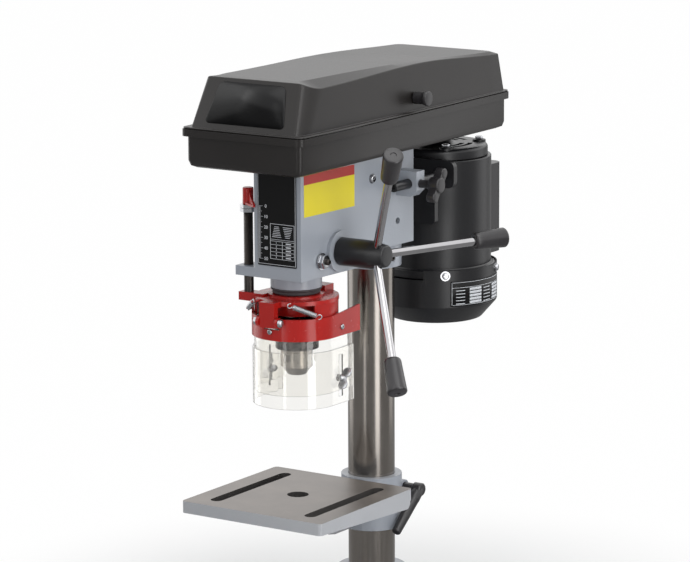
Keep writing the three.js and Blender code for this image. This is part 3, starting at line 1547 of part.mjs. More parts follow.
function makeMotor() {
  const group = groupAt(0, motorReach, 0);
  const stator = 30;
  const endWall = 8;
  const rimRadius = fanCoverRadius - fanCoverWall - gap;
  const rimHeight = 8;
  const footHalf = 28;
  const footBottom = 400;
  const footTop = 450;
  const footFace = plateBackY + gap - motorReach;
  const shaftHole = shaftRadius + gap;
  const frameRing = turned([
    [shaftHole, motorBottom],
    [rimRadius, motorBottom],
    [rimRadius, motorBottom + rimHeight],
    [motorRadius, motorBottom + rimHeight],
    [motorRadius, bellBottom - gap],
    [stator, bellBottom - gap],
    [stator, motorBottom + endWall],
    [shaftHole, motorBottom + endWall],
    [shaftHole, motorBottom],
  ], wideSides);
  const foot = cut(
    block(-footHalf, footHalf, footFace, -stator, footBottom, footTop),
    rod(motorRadius - past, footBottom - past, footTop + past, wideSides),
  );
  piece('motor_housing', join(frameRing, foot), blackPaint, group);

  const bellWall = 3;
  const bearingRadius = 16;
  const bearingTop = 485;
  const shoulder = 4;
  const ventRadius = 34;
  const ventWidth = 8;
  const bell = turned([
    [shaftHole, bellTop - bellWall],
    [bellRadius - bellWall, bellTop - bellWall],
    [bellRadius - bellWall, bellBottom],
    [bellRadius, bellBottom],
    [bellRadius, bellTop - shoulder],
    [bellRadius - shoulder, bellTop],
    [bearingRadius, bellTop],
    [bearingRadius, bearingTop],
    [shaftHole, bearingTop],
    [shaftHole, bellTop - bellWall],
  ], wideSides);
  const ventArc = 56;
  const vents = [17, 107, 197, 287].map((from) => arcWall(
    ventRadius + ventWidth / 2, ventRadius - ventWidth / 2, bellTop - bellWall - past, bellTop + past, from, from + ventArc,
  ));
  piece('motor_bell', cut(bell, ...vents), blackPaint, group);

  const coverFoot = 47.5;
  const coverShoulder = 320.5;
  const notchHalf = 21.5;
  const notchDrop = 9.5;
  const coverInner = fanCoverRadius - fanCoverWall;
  const cover = turned([
    [0, fanCoverBottom],
    [coverFoot, fanCoverBottom],
    [fanCoverRadius, coverShoulder],
    [fanCoverRadius, fanCoverTop],
    [coverInner, fanCoverTop],
    [coverInner, coverShoulder + fanCoverWall / 2],
    [coverFoot - fanCoverWall / 2, fanCoverBottom + fanCoverWall],
    [0, fanCoverBottom + fanCoverWall],
  ], wideSides);
  const notch = block(
    -notchHalf, notchHalf, -fanCoverRadius - past, -stator, fanCoverTop - notchDrop, fanCoverTop + past,
  );
  const slots = 8;
  const slotHalf = 3;
  const slotInner = 14;
  const slotOuter = 42;
  const grille = Array.from({ length: slots }, (_, i) => (
    asSolid(block(
      slotInner, slotOuter, -slotHalf, slotHalf, fanCoverBottom - past, fanCoverBottom + fanCoverWall + past,
    )).rotate([0, 0, (i / slots) * 360])
  ));
  piece('fan_cover', cut(cover, notch, ...grille), blackPaint, group);

  const coreBottom = 372;
  const coreTop = 452;
  const coreRadius = stator - loose;
  const fanBottom = 322;
  const fanTop = 340;
  const fanDisc = 3;
  const fanRadius = 42;
  const fanHub = 14;
  const fanBlades = 6;
  const shaftPast = 4;
  const bladeHalf = 1.2;
  const shaftTop = pulleyBottom + motorSteps.length * stepHeight + shaftPast;
  const blades = Array.from({ length: fanBlades }, (_, i) => (
    asSolid(block(fanHub / 2, fanRadius, -bladeHalf, bladeHalf, fanBottom, fanTop))
      .rotate([0, 0, (i / fanBlades) * 360])
  ));
  piece('motor_rotor', join(
    rod(shaftRadius, fanBottom - shaftPast, shaftTop, coneSides),
    rod(coreRadius, coreBottom, coreTop, smallSides),
    rod(fanHub, fanBottom, fanTop, smallSides),
    rod(fanRadius, fanTop - fanDisc, fanTop),
    ...blades,
  ), darkSteel, group);

  const boxHalf = 28;
  const boxBack = 84;
  const boxBottom = fanCoverTop + gap;
  const boxTop = 450;
  const boxRound = 10;
  const box = cut(
    slab(roundedRect(-boxHalf, boxHalf, stator, boxBack, boxRound), boxBottom, boxTop),
    rod(motorRadius + gap, boxBottom - past, boxTop + past, wideSides),
  );
  piece('capacitor_cover', box, blackPaint, group);
}

// Motor plate on two slide bars, locked by two knobs
function makeTension() {
  const plateHalf = 60;
  const plateThickness = 6;
  const plateBottom = 400;
  const plateTop = 484;
  const barStand = 5.3;
  const barBack = plateBackY + barStand;
  const holes = [];
  for (const [name, side] of sides) {
    holes.push(at(alongY(rod(barRadius + gap, 0, barBack, roundSides)), side * barX, 0, barZ));
    const bar = alongY(rod(barRadius, barFront, barBack, roundSides));
    piece(`slide_bar_${name}`, bar, darkSteel).position.set(side * barX, 0, barZ);

    const tip = barX + barRadius + gap;
    const lobeRadius = 7;
    const lobeReach = 11.5;
    const knobDepth = 12;
    const hub = 9;
    const lobeTilt = 54;
    const lobes = [-1, 1].map((end) => (
      alongX(rod(lobeRadius, knobStart, knobStart + knobDepth, smallSides)).translate(0, end * lobeReach, 0)
    ));
    const knob = join(
      alongX(rod(knobShaft, tip, knobStart + past, smallSides)),
      alongX(rod(hub, knobStart, knobStart + knobDepth, roundSides)),
      ...lobes,
    ).rotate([lobeTilt, 0, 0]);
    piece(`tension_knob_${name}`, mirrored(knob, side), blackPlastic)
      .position.set(0, blockBack - blockDepth / 2, barZ);
  }
  piece('motor_plate', cut(
    block(-plateHalf, plateHalf, plateBackY - plateThickness, plateBackY, plateBottom, plateTop),
    ...holes,
  ), darkSteel);
}

makeBase();
makeColumn();
makeBracket();
makeTable();
makeHead();
makeHeadFittings();
makeReturnSpring();
makeSwitch();
makeFeed();
makeQuill();
makeSpindle();
makeGuardCollar();
makeGuard();
makeSprings();
makeCase();
makeLid();
makeDrive();
makeMotor();
makeTension();

machine.updateMatrixWorld(true);

export default machine;
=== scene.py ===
# Benchtop drill press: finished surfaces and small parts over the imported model, in metres.
# +Z is up, the operator stands at -Y, and the feed handles are on +X.

import math

import bmesh
import bpy
from mathutils import Matrix, Vector


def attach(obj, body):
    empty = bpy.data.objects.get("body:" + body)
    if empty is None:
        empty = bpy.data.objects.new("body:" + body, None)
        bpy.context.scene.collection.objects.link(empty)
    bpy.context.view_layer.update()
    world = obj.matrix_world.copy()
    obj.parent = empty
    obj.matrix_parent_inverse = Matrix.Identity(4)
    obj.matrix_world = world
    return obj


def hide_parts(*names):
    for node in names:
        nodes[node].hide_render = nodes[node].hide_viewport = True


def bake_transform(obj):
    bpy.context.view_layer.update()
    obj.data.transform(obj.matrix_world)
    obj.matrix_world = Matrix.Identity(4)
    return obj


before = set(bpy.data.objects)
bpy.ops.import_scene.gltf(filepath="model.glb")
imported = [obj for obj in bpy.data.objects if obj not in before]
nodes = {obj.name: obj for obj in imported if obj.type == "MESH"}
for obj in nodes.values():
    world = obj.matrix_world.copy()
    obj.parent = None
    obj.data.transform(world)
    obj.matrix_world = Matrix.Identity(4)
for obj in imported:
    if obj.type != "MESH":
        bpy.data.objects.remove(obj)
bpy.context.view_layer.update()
mm = 0.001
# Axes of the spindle, the feed and the motor, in millimetres like the sizes of the pieces
spindle_y = -128.6
feed_y = -100
feed_z = 405.5
motor_y = 119

# Camera
# It stands in front and to the right of the press, a little above the height of the head,
# with a long lens. Its angles are in degrees and its distance in millimetres.
azimuth = 33.69
elevation = 11.16
roll = -0.28
distance = 3347


def moved(x, y, z):
    """The matrix of a move in millimetres."""
    return Matrix.Translation(Vector((x, y, z)) * mm)


def spun(degrees, axis):
    """The matrix of a turn about an axis through the origin."""
    return Matrix.Rotation(math.radians(degrees), 4, axis)


def linked(name, data):
    """An object of the scene that shows this data."""
    made = bpy.data.objects.new(name, data)
    bpy.context.scene.collection.objects.link(made)
    return made


lens = bpy.data.cameras.new("camera")
lens.lens = 178.74
lens.sensor_width = 36
lens.sensor_fit = "HORIZONTAL"
lens.clip_end = 60
camera = linked("camera", lens)
camera.matrix_world = (
    moved(-21.04, -14.03, 356.76) @ spun(azimuth, "Z") @ spun(90 - elevation, "X")
    @ spun(roll, "Z") @ moved(0, 0, distance)
)
bpy.context.scene.camera = camera
bpy.context.scene.view_settings.view_transform = "Standard"


# Floor and light
# A wide pale floor, a dim sky and a large lamp overhead. Four tall lamps close round the press
# draw the bright strips on the column, the chuck and the other round parts.
def linear(code):
    """An sRGB hex colour as linear light."""
    shares = [int(code[place:place + 2], 16) / 255 for place in (1, 3, 5)]
    return (*[
        share / 12.92 if share <= 0.04045 else ((share + 0.055) / 1.055) ** 2.4
        for share in shares
    ], 1)


def add(tree, kind, inputs=None, **settings):
    """A shader node with its settings, and its inputs set or linked by name or number."""
    made = tree.nodes.new("ShaderNode" + kind)
    for name, value in settings.items():
        setattr(made, name, value)
    for socket, value in (inputs or {}).items():
        if isinstance(value, bpy.types.NodeSocket):
            tree.links.new(value, made.inputs[socket])
        else:
            made.inputs[socket].default_value = value
    return made


def plain_finish(name, **sockets):
    """A material whose shader has these constants on its own sockets."""
    finish = bpy.data.materials.new(name)
    finish.use_nodes = True
    shader = finish.node_tree.nodes["Principled BSDF"]
    for socket, value in sockets.items():
        shader.inputs[socket.replace("_", " ")].default_value = value
    return finish, finish.node_tree, shader


def tinted(tree, shader, share, dark, light):
    """The base colour of a finish, somewhere between two tones."""
    tone = add(tree, "Mix", {0: share, 6: linear(dark), 7: linear(light)}, data_type="RGBA")
    tree.links.new(tone.outputs[2], shader.inputs["Base Color"])


def surfaced(tree, shader, gloss, low, high, relief, height, strength):
    """The roughness and the relief of a finish, each from a noise."""
    spread = add(tree, "MapRange", {"Value": gloss, "To Min": low, "To Max": high})
    tree.links.new(spread.outputs[0], shader.inputs["Roughness"])
    bump = add(tree, "Bump", {"Height": relief, "Distance": height * mm, "Strength": strength})
    tree.links.new(bump.outputs[0], shader.inputs["Normal"])


def straight_rays(tree):
    """The kind of ray, and whether it shows the surface straight on or through clear plastic."""
    ray = add(tree, "LightPath").outputs
    seen = add(tree, "Math", {0: ray["Is Camera Ray"], 1: ray["Is Transmission Ray"]},
               operation="MAXIMUM")
    return ray, seen.outputs[0]


def as_object(form, name="work"):
    """A form as an object of the scene."""
    mesh = bpy.data.meshes.new(name)
    form.to_mesh(mesh)
    form.free()
    return linked(name, mesh)


room = bpy.data.worlds.new("room")
bpy.context.scene.world = room
room.use_nodes = True
sky = room.node_tree
sky.nodes.clear()
# Seen straight on the sky is white; in mirrors it is darker towards the horizon
ray, seen = straight_rays(sky)
toward = add(sky, "SeparateXYZ", {0: add(sky, "TexCoord").outputs["Generated"]})
climb = add(sky, "MapRange", {
    "Value": toward.outputs["Z"], "From Min": 0.05, "From Max": 0.22, "To Min": 0.3, "To Max": 1.6,
})
dim = add(sky, "Background", {"Color": linear("#f4f5f8"), "Strength": 0.5})
mirrored = add(sky, "Background", {"Color": (1, 1, 1, 1), "Strength": climb.outputs[0]})
white = add(sky, "Background", {"Color": (1, 1, 1, 1), "Strength": 1.0})
mixed = add(sky, "MixShader", {0: ray["Is Glossy Ray"], 1: dim.outputs[0], 2: mirrored.outputs[0]})
mixed = add(sky, "MixShader", {0: seen, 1: mixed.outputs[0], 2: white.outputs[0]})
add(sky, "OutputWorld", {"Surface": mixed.outputs[0]})

floor_finish, tree, shader = plain_finish("matt_white_floor", Roughness=0.9)
shade = add(tree, "TexNoise", {
    "Vector": add(tree, "TexCoord").outputs["Object"], "Scale": 1 / (900 * mm), "Detail": 2.0,
})
tinted(tree, shader, shade.outputs[0], "#f2f2f0", "#f6f6f5")
# Away from the press it is white when seen, and always grey in mirrors
ray, seen = straight_rays(tree)
reach = add(tree, "VectorMath", {0: add(tree, "TexCoord").outputs["Object"]}, operation="LENGTH")
away = add(tree, "MapRange", {
    "Value": reach.outputs["Value"], "From Min": 240 * mm, "From Max": 520 * mm,
    "To Min": 0.1, "To Max": 0.99,
}, interpolation_type="SMOOTHSTEP")
share = add(tree, "Math", {0: seen, 1: away.outputs[0]}, operation="MULTIPLY")
share = add(tree, "Math", {0: share.outputs[0], 1: ray["Is Glossy Ray"]}, operation="MAXIMUM")
strength = add(tree, "MapRange", {"Value": seen, "To Min": 0.42, "To Max": 1.0})
glow = add(tree, "Emission", {"Color": (1, 1, 1, 1), "Strength": strength.outputs[0]})
mixed = add(tree, "MixShader", {0: share.outputs[0], 1: shader.outputs[0], 2: glow.outputs[0]})
tree.links.new(mixed.outputs[0], tree.nodes["Material Output"].inputs["Surface"])
ground = bmesh.new()
bmesh.ops.create_grid(ground, x_segments=4, y_segments=4, size=15000 * mm)
floor = as_object(ground, "floor")
floor.data.materials.append(floor_finish)


def lamp(name, place, aim, width, height, power):
    """A soft rectangular lamp that faces a point."""
    light = bpy.data.lights.new(name, "AREA")
    light.shape = "RECTANGLE"
    light.size = width
    light.size_y = height
    light.energy = power
    stand = linked(name, light)
    facing = (Vector(aim) - Vector(place)).to_track_quat("-Z", "Y")
    stand.matrix_world = Matrix.Translation(place) @ facing.to_matrix().to_4x4()
    stand.visible_camera = False


lamp_height = 0.61
lamp_length = 1.2
for name, x, y, width, power in [
    ("side_strip", 0.64, -0.32, 0.26, 3.5), ("front_strip", 0.03, -0.85, 0.1, 0.9),
    ("rear_lamp", 0.5, 0.75, 0.45, 1.7), ("left_lamp", -0.85, -0.1, 0.5, 2.4),
]:
    lamp(name, (x, y, lamp_height), (0, 0, lamp_height), width, lamp_length, power)
lamp("top_lamp", (0.5, -0.3, 3.2), (0, -0.05, 0.3), 2.2, 2.2, 30)


# Base
# A cast-iron plate, ribbed below, with two slots for clamping work and a ground pad. It is
# sprayed with the same blue-grey enamel as the other castings.
def painted(name, light, dark, roughness, grain, height, coat=0.0, gleam=0.5):
    """A sprayed film: its tone drifts slowly, and it follows the grain of what it covers."""
    finish, tree, shader = plain_finish(
        name, Roughness=roughness, Coat_Weight=coat, Coat_Roughness=0.12, Specular_IOR_Level=gleam,
    )
    place = add(tree, "TexCoord").outputs["Object"]
    cloud = add(tree, "TexNoise", {"Vector": place, "Scale": 1 / (70 * mm), "Detail": 3.0})
    tinted(tree, shader, cloud.outputs[0], dark, light)
    skin = add(tree, "TexNoise", {
        "Vector": place, "Scale": 1 / (grain * mm), "Detail": 4.0, "Roughness": 0.55,
    }).outputs[0]
    surfaced(tree, shader, skin, roughness - 0.06, roughness + 0.08, skin, height, 0.5)
    return finish


def worked(name, light, dark, roughness, lines, pitch=0.35, height=0.004, metal=1.0, share=0.5):
    """Bare metal with the fine lines of a tool; lines gives how much each axis is stretched."""
    finish, tree, shader = plain_finish(name, Metallic=metal, Roughness=roughness)
    place = add(tree, "TexCoord").outputs["Object"]
    cloud = add(tree, "TexNoise", {"Vector": place, "Scale": 1 / (35 * mm), "Detail": 3.0})
    stretched = add(tree, "Mapping", {"Vector": place, "Scale": lines})
    cuts = add(tree, "TexNoise", {
        "Vector": stretched.outputs[0], "Scale": 1 / (pitch * mm), "Detail": 2.0,
    }).outputs[0]
    drift = add(tree, "Mix", {0: share, 2: cuts, 3: cloud.outputs[0]}).outputs[0]
    tinted(tree, shader, drift, dark, light)
    surfaced(tree, shader, drift, roughness - 0.08, roughness + 0.1, cuts, height, 0.4)
    return finish


# Semi-gloss enamel over sand-cast iron: a soft sheen broken by the grain of the casting
cast_enamel = painted("blue_grey_cast_enamel", "#9a9fa7", "#868b93", 0.34, 2.2, 0.2, coat=0.1)
# Ground cast iron: satin grey with fine lines along X, and duller patches where it was oiled
ground_iron = worked("ground_cast_iron", "#8f8984", "#4a4542", 0.4, (0.04, 1.0, 1.0), share=0.75)


def copy_of(node):
    """The solid of a node as one merged mesh with flat faces made whole."""
    form = bmesh.new()
    form.from_mesh(nodes[node].data)
    bmesh.ops.remove_doubles(form, verts=form.verts, dist=0.002 * mm)
    bmesh.ops.dissolve_limit(form, angle_limit=math.radians(0.8), verts=form.verts, edges=form.edges)
    return form


def cleaned(form, reach=0.001):
    """The form with points closer than this merged, and its faces turned outward."""
    bmesh.ops.remove_doubles(form, verts=form.verts, dist=reach * mm)
    bmesh.ops.recalc_face_normals(form, faces=form.faces)
    return form


def finished(name, form, finish, body, slot, stands_for=(), edge=0.0, segments=2, crease=35):
    """A form made a piece: merged, smooth below the crease angle and its edges eased. It rides on
    a body when one is given."""
    piece = as_object(cleaned(form, 0.002), name)
    mesh = piece.data
    for layer in finish if isinstance(finish, list) else [finish]:
        mesh.materials.append(layer)
    for face in mesh.polygons:
        face.use_smooth = True
    mesh.set_sharp_from_angle(angle=math.radians(crease))
    if edge:
        ease = piece.modifiers.new("eased_edges", "BEVEL")
        ease.width = edge * mm
        ease.segments = segments
        ease.limit_method = "ANGLE"
        ease.angle_limit = math.radians(crease)
        ease.harden_normals = True
    if body:
        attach(piece, body)
    if stands_for:
        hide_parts(*stands_for)
    return piece


def dressed(name, node, finish, body, slot, **edges):
    """The solid of a node made a piece that stands for it."""
    return finished(name, copy_of(node), finish, body, slot, [node], **edges)


def bare_above(form, height):
    """Flat faces at this height get the second finish."""
    for face in form.faces:
        if face.normal.z > 0.9 and abs(face.calc_center_median().z - height) < 0.05 * mm:
            face.material_index = 1
    return form


finished("base_casting", bare_above(copy_of("base"), 24 * mm), [cast_enamel, ground_iron], "stand",
         "casting_paint", ["base"], edge=1.5)


# Column flange
# A turned cast-iron foot with a filleted neck, enamelled, and held down by four hexagon bolts
# on washers. The column is pressed into it.
def turned(profile, steps=72, degrees=360):
    """A profile of (radius, height) points in millimetres, spun about Z."""
    form = bmesh.new()
    line = [form.verts.new((radius * mm, 0, height * mm)) for radius, height in profile]
    runs = [form.edges.new(pair) for pair in zip(line, line[1:])]
    bmesh.ops.spin(form, geom=line + runs, axis=(0, 0, 1), steps=steps,
                   angle=math.radians(degrees), use_merge=degrees == 360)
    return cleaned(form)


def rod(radius, low, high, steps):
    """A plain round bar along Z."""
    return turned([(0, low), (radius, low), (radius, high), (0, high)], steps)


along = {
    "X": spun(90, "Y"),
    "Y": spun(-90, "X"),
    "Z": Matrix.Identity(4),
}


def polar(radius, degrees):
    """The x and y of a place on a circle about Z."""
    turn = math.radians(degrees)
    return radius * math.cos(turn), radius * math.sin(turn)


def placed(form, x=0.0, y=0.0, z=0.0, axis="Z"):
    """The form with its Z laid along an axis, moved to a place in millimetres."""
    form.transform(moved(x, y, z) @ along[axis])
    return form


def joined(*forms):
    """Several forms as one."""
    whole = bmesh.new()
    for form in forms:
        mesh = bpy.data.meshes.new("joined")
        form.to_mesh(mesh)
        form.free()
        whole.from_mesh(mesh)
        bpy.data.meshes.remove(mesh)
    return whole


def round_edge(radius, height, size, start, end, steps=6):
    """Points of a round corner about (radius, height), between two angles in degrees."""
    angles = [math.radians(start + (end - start) * step / steps) for step in range(steps + 1)]
    return [(radius + size * math.cos(a), height + size * math.sin(a)) for a in angles]


def bevelled(form, parts, size, segments, affect="EDGES"):
    """The form with these edges or corners rounded."""
    bmesh.ops.bevel(form, geom=parts, offset=size * mm, offset_type="OFFSET", segments=segments,
                    profile=0.5, affect=affect, material=-1)
    return form


def hexagon(radius, low, high, ease=0.5):
    """A hexagon bar of this radius over its corners, its rims eased."""
    form = bmesh.new()
    bmesh.ops.create_cone(form, segments=6, radius1=radius * mm, radius2=radius * mm,
                          depth=(high - low) * mm, cap_ends=True, cap_tris=False)
    bmesh.ops.translate(form, verts=form.verts, vec=(0, 0, (high + low) / 2 * mm))
    rims = [edge for edge in form.edges if abs(edge.verts[0].co.z - edge.verts[1].co.z) < 0.01 * mm]
    return bevelled(form, rims, ease, 2)


def hex_bolt(radius, seat, height, washer=0.0):
    """A hexagon head on a washer, standing on Z at its seat."""
    lift = 1.4 if washer else 0.0
    parts = [hexagon(radius, seat + lift, seat + lift + height)]
    if washer:
        parts.append(rod(washer, seat, seat + lift, 40))
    return joined(*parts)


# Zinc-plated steel: pale, slightly blue and satin, with smears left by handling
zinc_plate = worked("zinc_plated_steel", "#c6c7ca", "#96979b", 0.2, (1.0, 1.0, 1.0), pitch=1.5)
# Black-oxide steel: near black with an oily sheen
black_oxide = worked("black_oxide_steel", "#4a4541", "#2c2a29", 0.36, (1.0, 1.0, 0.3), pitch=0.8,
                     metal=0.85)


def fastener(name, form, body):
    """A small bright bolt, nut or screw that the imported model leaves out."""
    finished(name, form, zinc_plate, body, "bright_steel", crease=30)


flange = turned([
    (23.3, 22.3), (55, 22.3), *round_edge(54, 33.3, 1, 0, 90, 3),
    *round_edge(40, 40.3, 6, -90, -180), *round_edge(33, 69, 1, 0, 90, 3), (23.3, 70), (23.3, 22.3),
])
finished("column_foot", flange, cast_enamel, "stand", "casting_paint", ["column_flange"])
for number in range(4):
    bolt = placed(hex_bolt(6.4, 0, 5, washer=7.6), *polar(47, 45 + 90 * number), 34.3)
    fastener(f"foot_bolt_{number + 1}", bolt, "stand")

# Column
# A drawn steel tube, ground round and left bright, so its lines run round it.
# Bright ground steel: strong vertical reflections, slightly spread by the lines
drawn_steel = worked("bright_ground_tube", "#938e89", "#726d68", 0.2, (0.5, 0.5, 0.02), pitch=1.2,
                     height=0.0004)
column = turned([(19.5, 22.3), (23, 22.3), (23, 480), (19.5, 480), (19.5, 22.3)], 96)
finished("column_tube", column, drawn_steel, "stand", "ground_steel", ["column"], edge=0.6)

# Table bracket
# A cast-iron collar, split at the rear and drawn together by the clamp lever, with an arm that
# carries the tilting table on a bolt.
dressed("bracket_casting", "table_bracket", cast_enamel, "bracket", "casting_paint", edge=1.3)

# Clamp lever of the bracket
# A steel stud with a moulded black handle at the right and a nut at the left.
# Moulded phenolic: deep black with a low gloss and a faint orange-peel skin
phenolic = painted("black_moulded_phenolic", "#2a282a", "#1d1c1e", 0.32, 3.5, 0.05, gleam=0.45)
lever_arm = turned([
    (0, 0), (5.2, 0), (5.9, 6), *round_edge(1.5, 12, 4.5, 0, 20, 2), (5.3, 32),
    *round_edge(2.6, 52.8, 2, 0, 90, 5), (0, 54.8),
], 40)
lever_arm.transform(spun(129.7, "X"))
lever = joined(
    placed(rod(5, -23, 40, 40), axis="X"),
    placed(hexagon(7.2, -27.3, -20.3), axis="X"),
    placed(turned([(0, 31), (5.5, 31), (6.5, 32), (6.5, 40), (5.5, 41), (0, 41)], 40), axis="X"),
    placed(lever_arm, x=36.4),
)
finished("clamp_lever", placed(lever, y=29.5, z=145.5), phenolic, "bracket_clamp", "black_plastic",
         ["table_clamp_lever"])

# Tilt bolt
# A hexagon bolt on a washer through the table's lug and the bracket's arm.
tilt_bolt = joined(
    turned([(0, -1.6), (5, -1.6), (5, 23), (4, 24), (0, 24)], 40),
    hexagon(8.5, -7.3, -1.8),
    rod(11, -1.8, -0.4, 48),
)
finished("tilt_bolt_head", placed(tilt_bolt, y=-76.3, z=138, axis="Y"), black_oxide, "tilt_bolt",
         "dark_steel", ["table_tilt_bolt"], crease=30)

# Table
# A small cast-iron table with two slots and a hole below the drill. The top is ground bare,
# and its sides and underside are painted light grey.
# Light grey enamel: the same film as on the castings, paler
pale_enamel = painted("light_grey_enamel", "#a6a8ac", "#96989c", 0.38, 2.0, 0.12)
# Walls of the slots and the hole: a dark, rough finish that is painted shade, the shadow inside them
slot_shade_iron = painted("slot_walls_painted_shade", "#3d3a38", "#2a2827", 0.6, 1.5, 0.2, gleam=0.3)
table_form = bare_above(copy_of("table"), 170 * mm)
# Upright faces inside the openings of the top take the dark finish, painted shade
for face in table_form.faces:
    middle = face.calc_center_median()
    inner = abs(middle.x) < 62 * mm and -193 * mm < middle.y < -65 * mm
    if inner and abs(face.normal.z) < 0.1 and middle.z > 158 * mm:
        face.material_index = 2
finished("table_casting", table_form, [pale_enamel, ground_iron, slot_shade_iron], "table", "ground_steel",
         ["table"], edge=0.8)

# Head casting
# The grey iron head, clamped on the column by two set screws at the right. It is bored for
# the quill, and its side blocks guide the bars of the motor.
dressed("head_body", "head_casting", cast_enamel, "stand", "casting_paint", edge=1.6, segments=3)


def shape_of(loose):
    """The mesh that a loose object shows."""
    bpy.context.view_layer.update()
    shaped = loose.evaluated_get(bpy.context.evaluated_depsgraph_get())
    form = bmesh.new()
    form.from_mesh(shaped.to_mesh())
    shaped.to_mesh_clear()
    return form


def cut(form, *tools, operation="DIFFERENCE"):
    """The form less the tools, or joined to them."""
    blank = as_object(form)
    cutters = [as_object(tool) for tool in tools]
    for cutter in cutters:
        work = blank.modifiers.new("work", "BOOLEAN")
        work.operation = operation
        work.solver = "EXACT"
        work.object = cutter
    result = shape_of(blank)
    for loose in [blank, *cutters]:
        mesh = loose.data
        bpy.data.objects.remove(loose)
        bpy.data.meshes.remove(mesh)
    return result


def socket_screw(radius, low, high, socket):
    """A set screw along Z with a hexagon socket in its top."""
    form = turned([(0, low), (radius, low), (radius, high - 0.6), (radius - 0.6, high), (0, high)], 36)
    return cut(form, hexagon(socket, high - 2.5, high + 1, ease=0.1))


for name, start, height in [("lower", 23.6, 383.2), ("upper", 25.6, 420.6)]:
    screw = placed(socket_screw(3.2, start, start + 6, 1.7), y=-5, z=height, axis="X")
    finished(f"head_set_screw_{name}", screw, black_oxide, "stand", "dark_steel")


def block(x0, x1, y0, y1, z0, z1, corner=0.0):
    """A box in millimetres, with its upright edges rounded where a corner is given."""
    form = bmesh.new()
    bmesh.ops.create_cube(form, size=mm)
    bmesh.ops.scale(form, verts=form.verts, vec=(x1 - x0, y1 - y0, z1 - z0))
    bmesh.ops.translate(form, verts=form.verts,
                        vec=((x0 + x1) / 2 * mm, (y0 + y1) / 2 * mm, (z0 + z1) / 2 * mm))
    if corner:
        upright = [edge for edge in form.edges
                   if abs(edge.verts[0].co.z - edge.verts[1].co.z) > (z1 - z0) / 2 * mm]
        bevelled(form, upright, corner, 4)
    return form


def pan_screw(radius, height, washer=0.0):
    """A domed screw head with a cross recess, on an optional washer, standing on Z."""
    lift = 0.8 if washer else 0.0
    dome = turned([
        (0, lift), (radius, lift), (radius, lift + height * 0.45),
        *round_edge(radius - height * 0.55, lift + height * 0.45, height * 0.55, 0, 90, 4),
        (0, lift + height),
    ], 36)
    reach = radius * 0.55
    top = lift + height
    head = cut(dome, block(-reach, reach, -0.45, 0.45, top - 0.9, top + 1),
               block(-0.45, 0.45, -reach, reach, top - 0.9, top + 1))
    if washer:
        return joined(head, rod(washer, 0, lift, 36))
    return head


side_screw = placed(pan_screw(4, 2.4, washer=4.8), x=32.1, y=-47, z=467.6, axis="X")
fastener("head_side_screw", side_screw, "stand")

# Side panel of the head
# A plain foil in two colours, yellow below and red above, with nothing printed on it. It is
# stuck to the right side of the head.
# Yellow vinyl foil, smooth and slightly glossy
yellow_foil = painted("yellow_vinyl_foil", "#d9c91c", "#cfbe17", 0.35, 2, 0.01, gleam=0.4)
# Red vinyl foil of the same kind
red_foil = painted("red_vinyl_foil", "#a82a22", "#9c251e", 0.35, 2, 0.01, gleam=0.4)
side_lean = moved(26.76, -154, 0) @ Matrix.Rotation(-math.atan2(9.5, 185), 4, "Z")
for name, low, high, finish in [("yellow", 445, 475.5, yellow_foil), ("red", 475.5, 485, red_foil)]:
    foil = block(-0.1, 0.2, 0, 79, low, high)
    foil.transform(side_lean)
    finished(f"side_foil_{name}", foil, finish, "stand", "casting_paint")

# Quill lock
# A slim screw at the right of the head with a hexagon socket in its end, and a bright lock nut
# on a washer.
lock_screw = turned([(0, 20.6), (3, 20.6), (3, 37), (2.2, 38), (0, 38)], 32)
lock_screw = cut(lock_screw, hexagon(1.5, 35.5, 39, ease=0.1))
lock_nut = joined(hexagon(7, 29.4, 34.2), rod(8, 28.7, 29.4, 40))
finished("quill_lock", placed(lock_screw, y=-128, z=399.7, axis="X"), black_oxide, "quill_lock",
         "dark_steel", ["quill_lock_screw"], crease=30)
fastener("quill_lock_nut", placed(lock_nut, y=-128, z=399.7, axis="X"), "quill_lock")

# Return spring and its cap
# A clock spring in a pressed steel cup at the left of the head. It turns the feed back up, and
# a nut on the pinion shaft holds the cup.
# Gloss black enamel on pressed steel
black_enamel = painted("gloss_black_enamel", "#1f1f21", "#161618", 0.33, 1.6, 0.06, gleam=0.35)
cup = turned([
    (5.3, -46), (6.5, -46), (7.5, -45.2), (20, -45.2), (21, -46),
    *round_edge(25, -44, 2, -90, 0, 5), (27, -34), (27, -32.5), (25.4, -32.5), (25.4, -44.4),
    (5.3, -44.4), (5.3, -46),
])
finished("spring_cup", placed(cup, y=feed_y, z=feed_z, axis="X"), black_enamel, "stand",
         "black_paint", ["return_spring_cap"])


def new_points(raised):
    """The points that an extrusion made."""
    return [item for item in raised["geom"] if isinstance(item, bmesh.types.BMVert)]


def thickened(piece, name, thickness, offset=0):
    """A thickness in millimetres for a piece drawn as a bare surface."""
    wall = piece.modifiers.new(name, "SOLIDIFY")
    wall.thickness = thickness * mm
    wall.offset = offset


spring_turns = 7
spring_start = 8.7
spring_end = 24.6
spiral = bmesh.new()
inner_rim = []
for step in range(spring_turns * 36 + 1):
    radius = spring_start + (spring_end - spring_start) * step / (spring_turns * 36)
    y, z = polar(radius, step * 10)
    inner_rim.append(spiral.verts.new((-33.4 * mm, (y + feed_y) * mm, (z + feed_z) * mm)))
runs = [spiral.edges.new(pair) for pair in zip(inner_rim, inner_rim[1:])]
raised = bmesh.ops.extrude_edge_only(spiral, edges=runs)
bmesh.ops.translate(spiral, verts=new_points(raised), vec=(-9 * mm, 0, 0))
clock_spring = finished("clock_spring", spiral, zinc_plate, "stand", "bright_steel",
                        ["return_spring"])
thickened(clock_spring, "strip", 0.8)

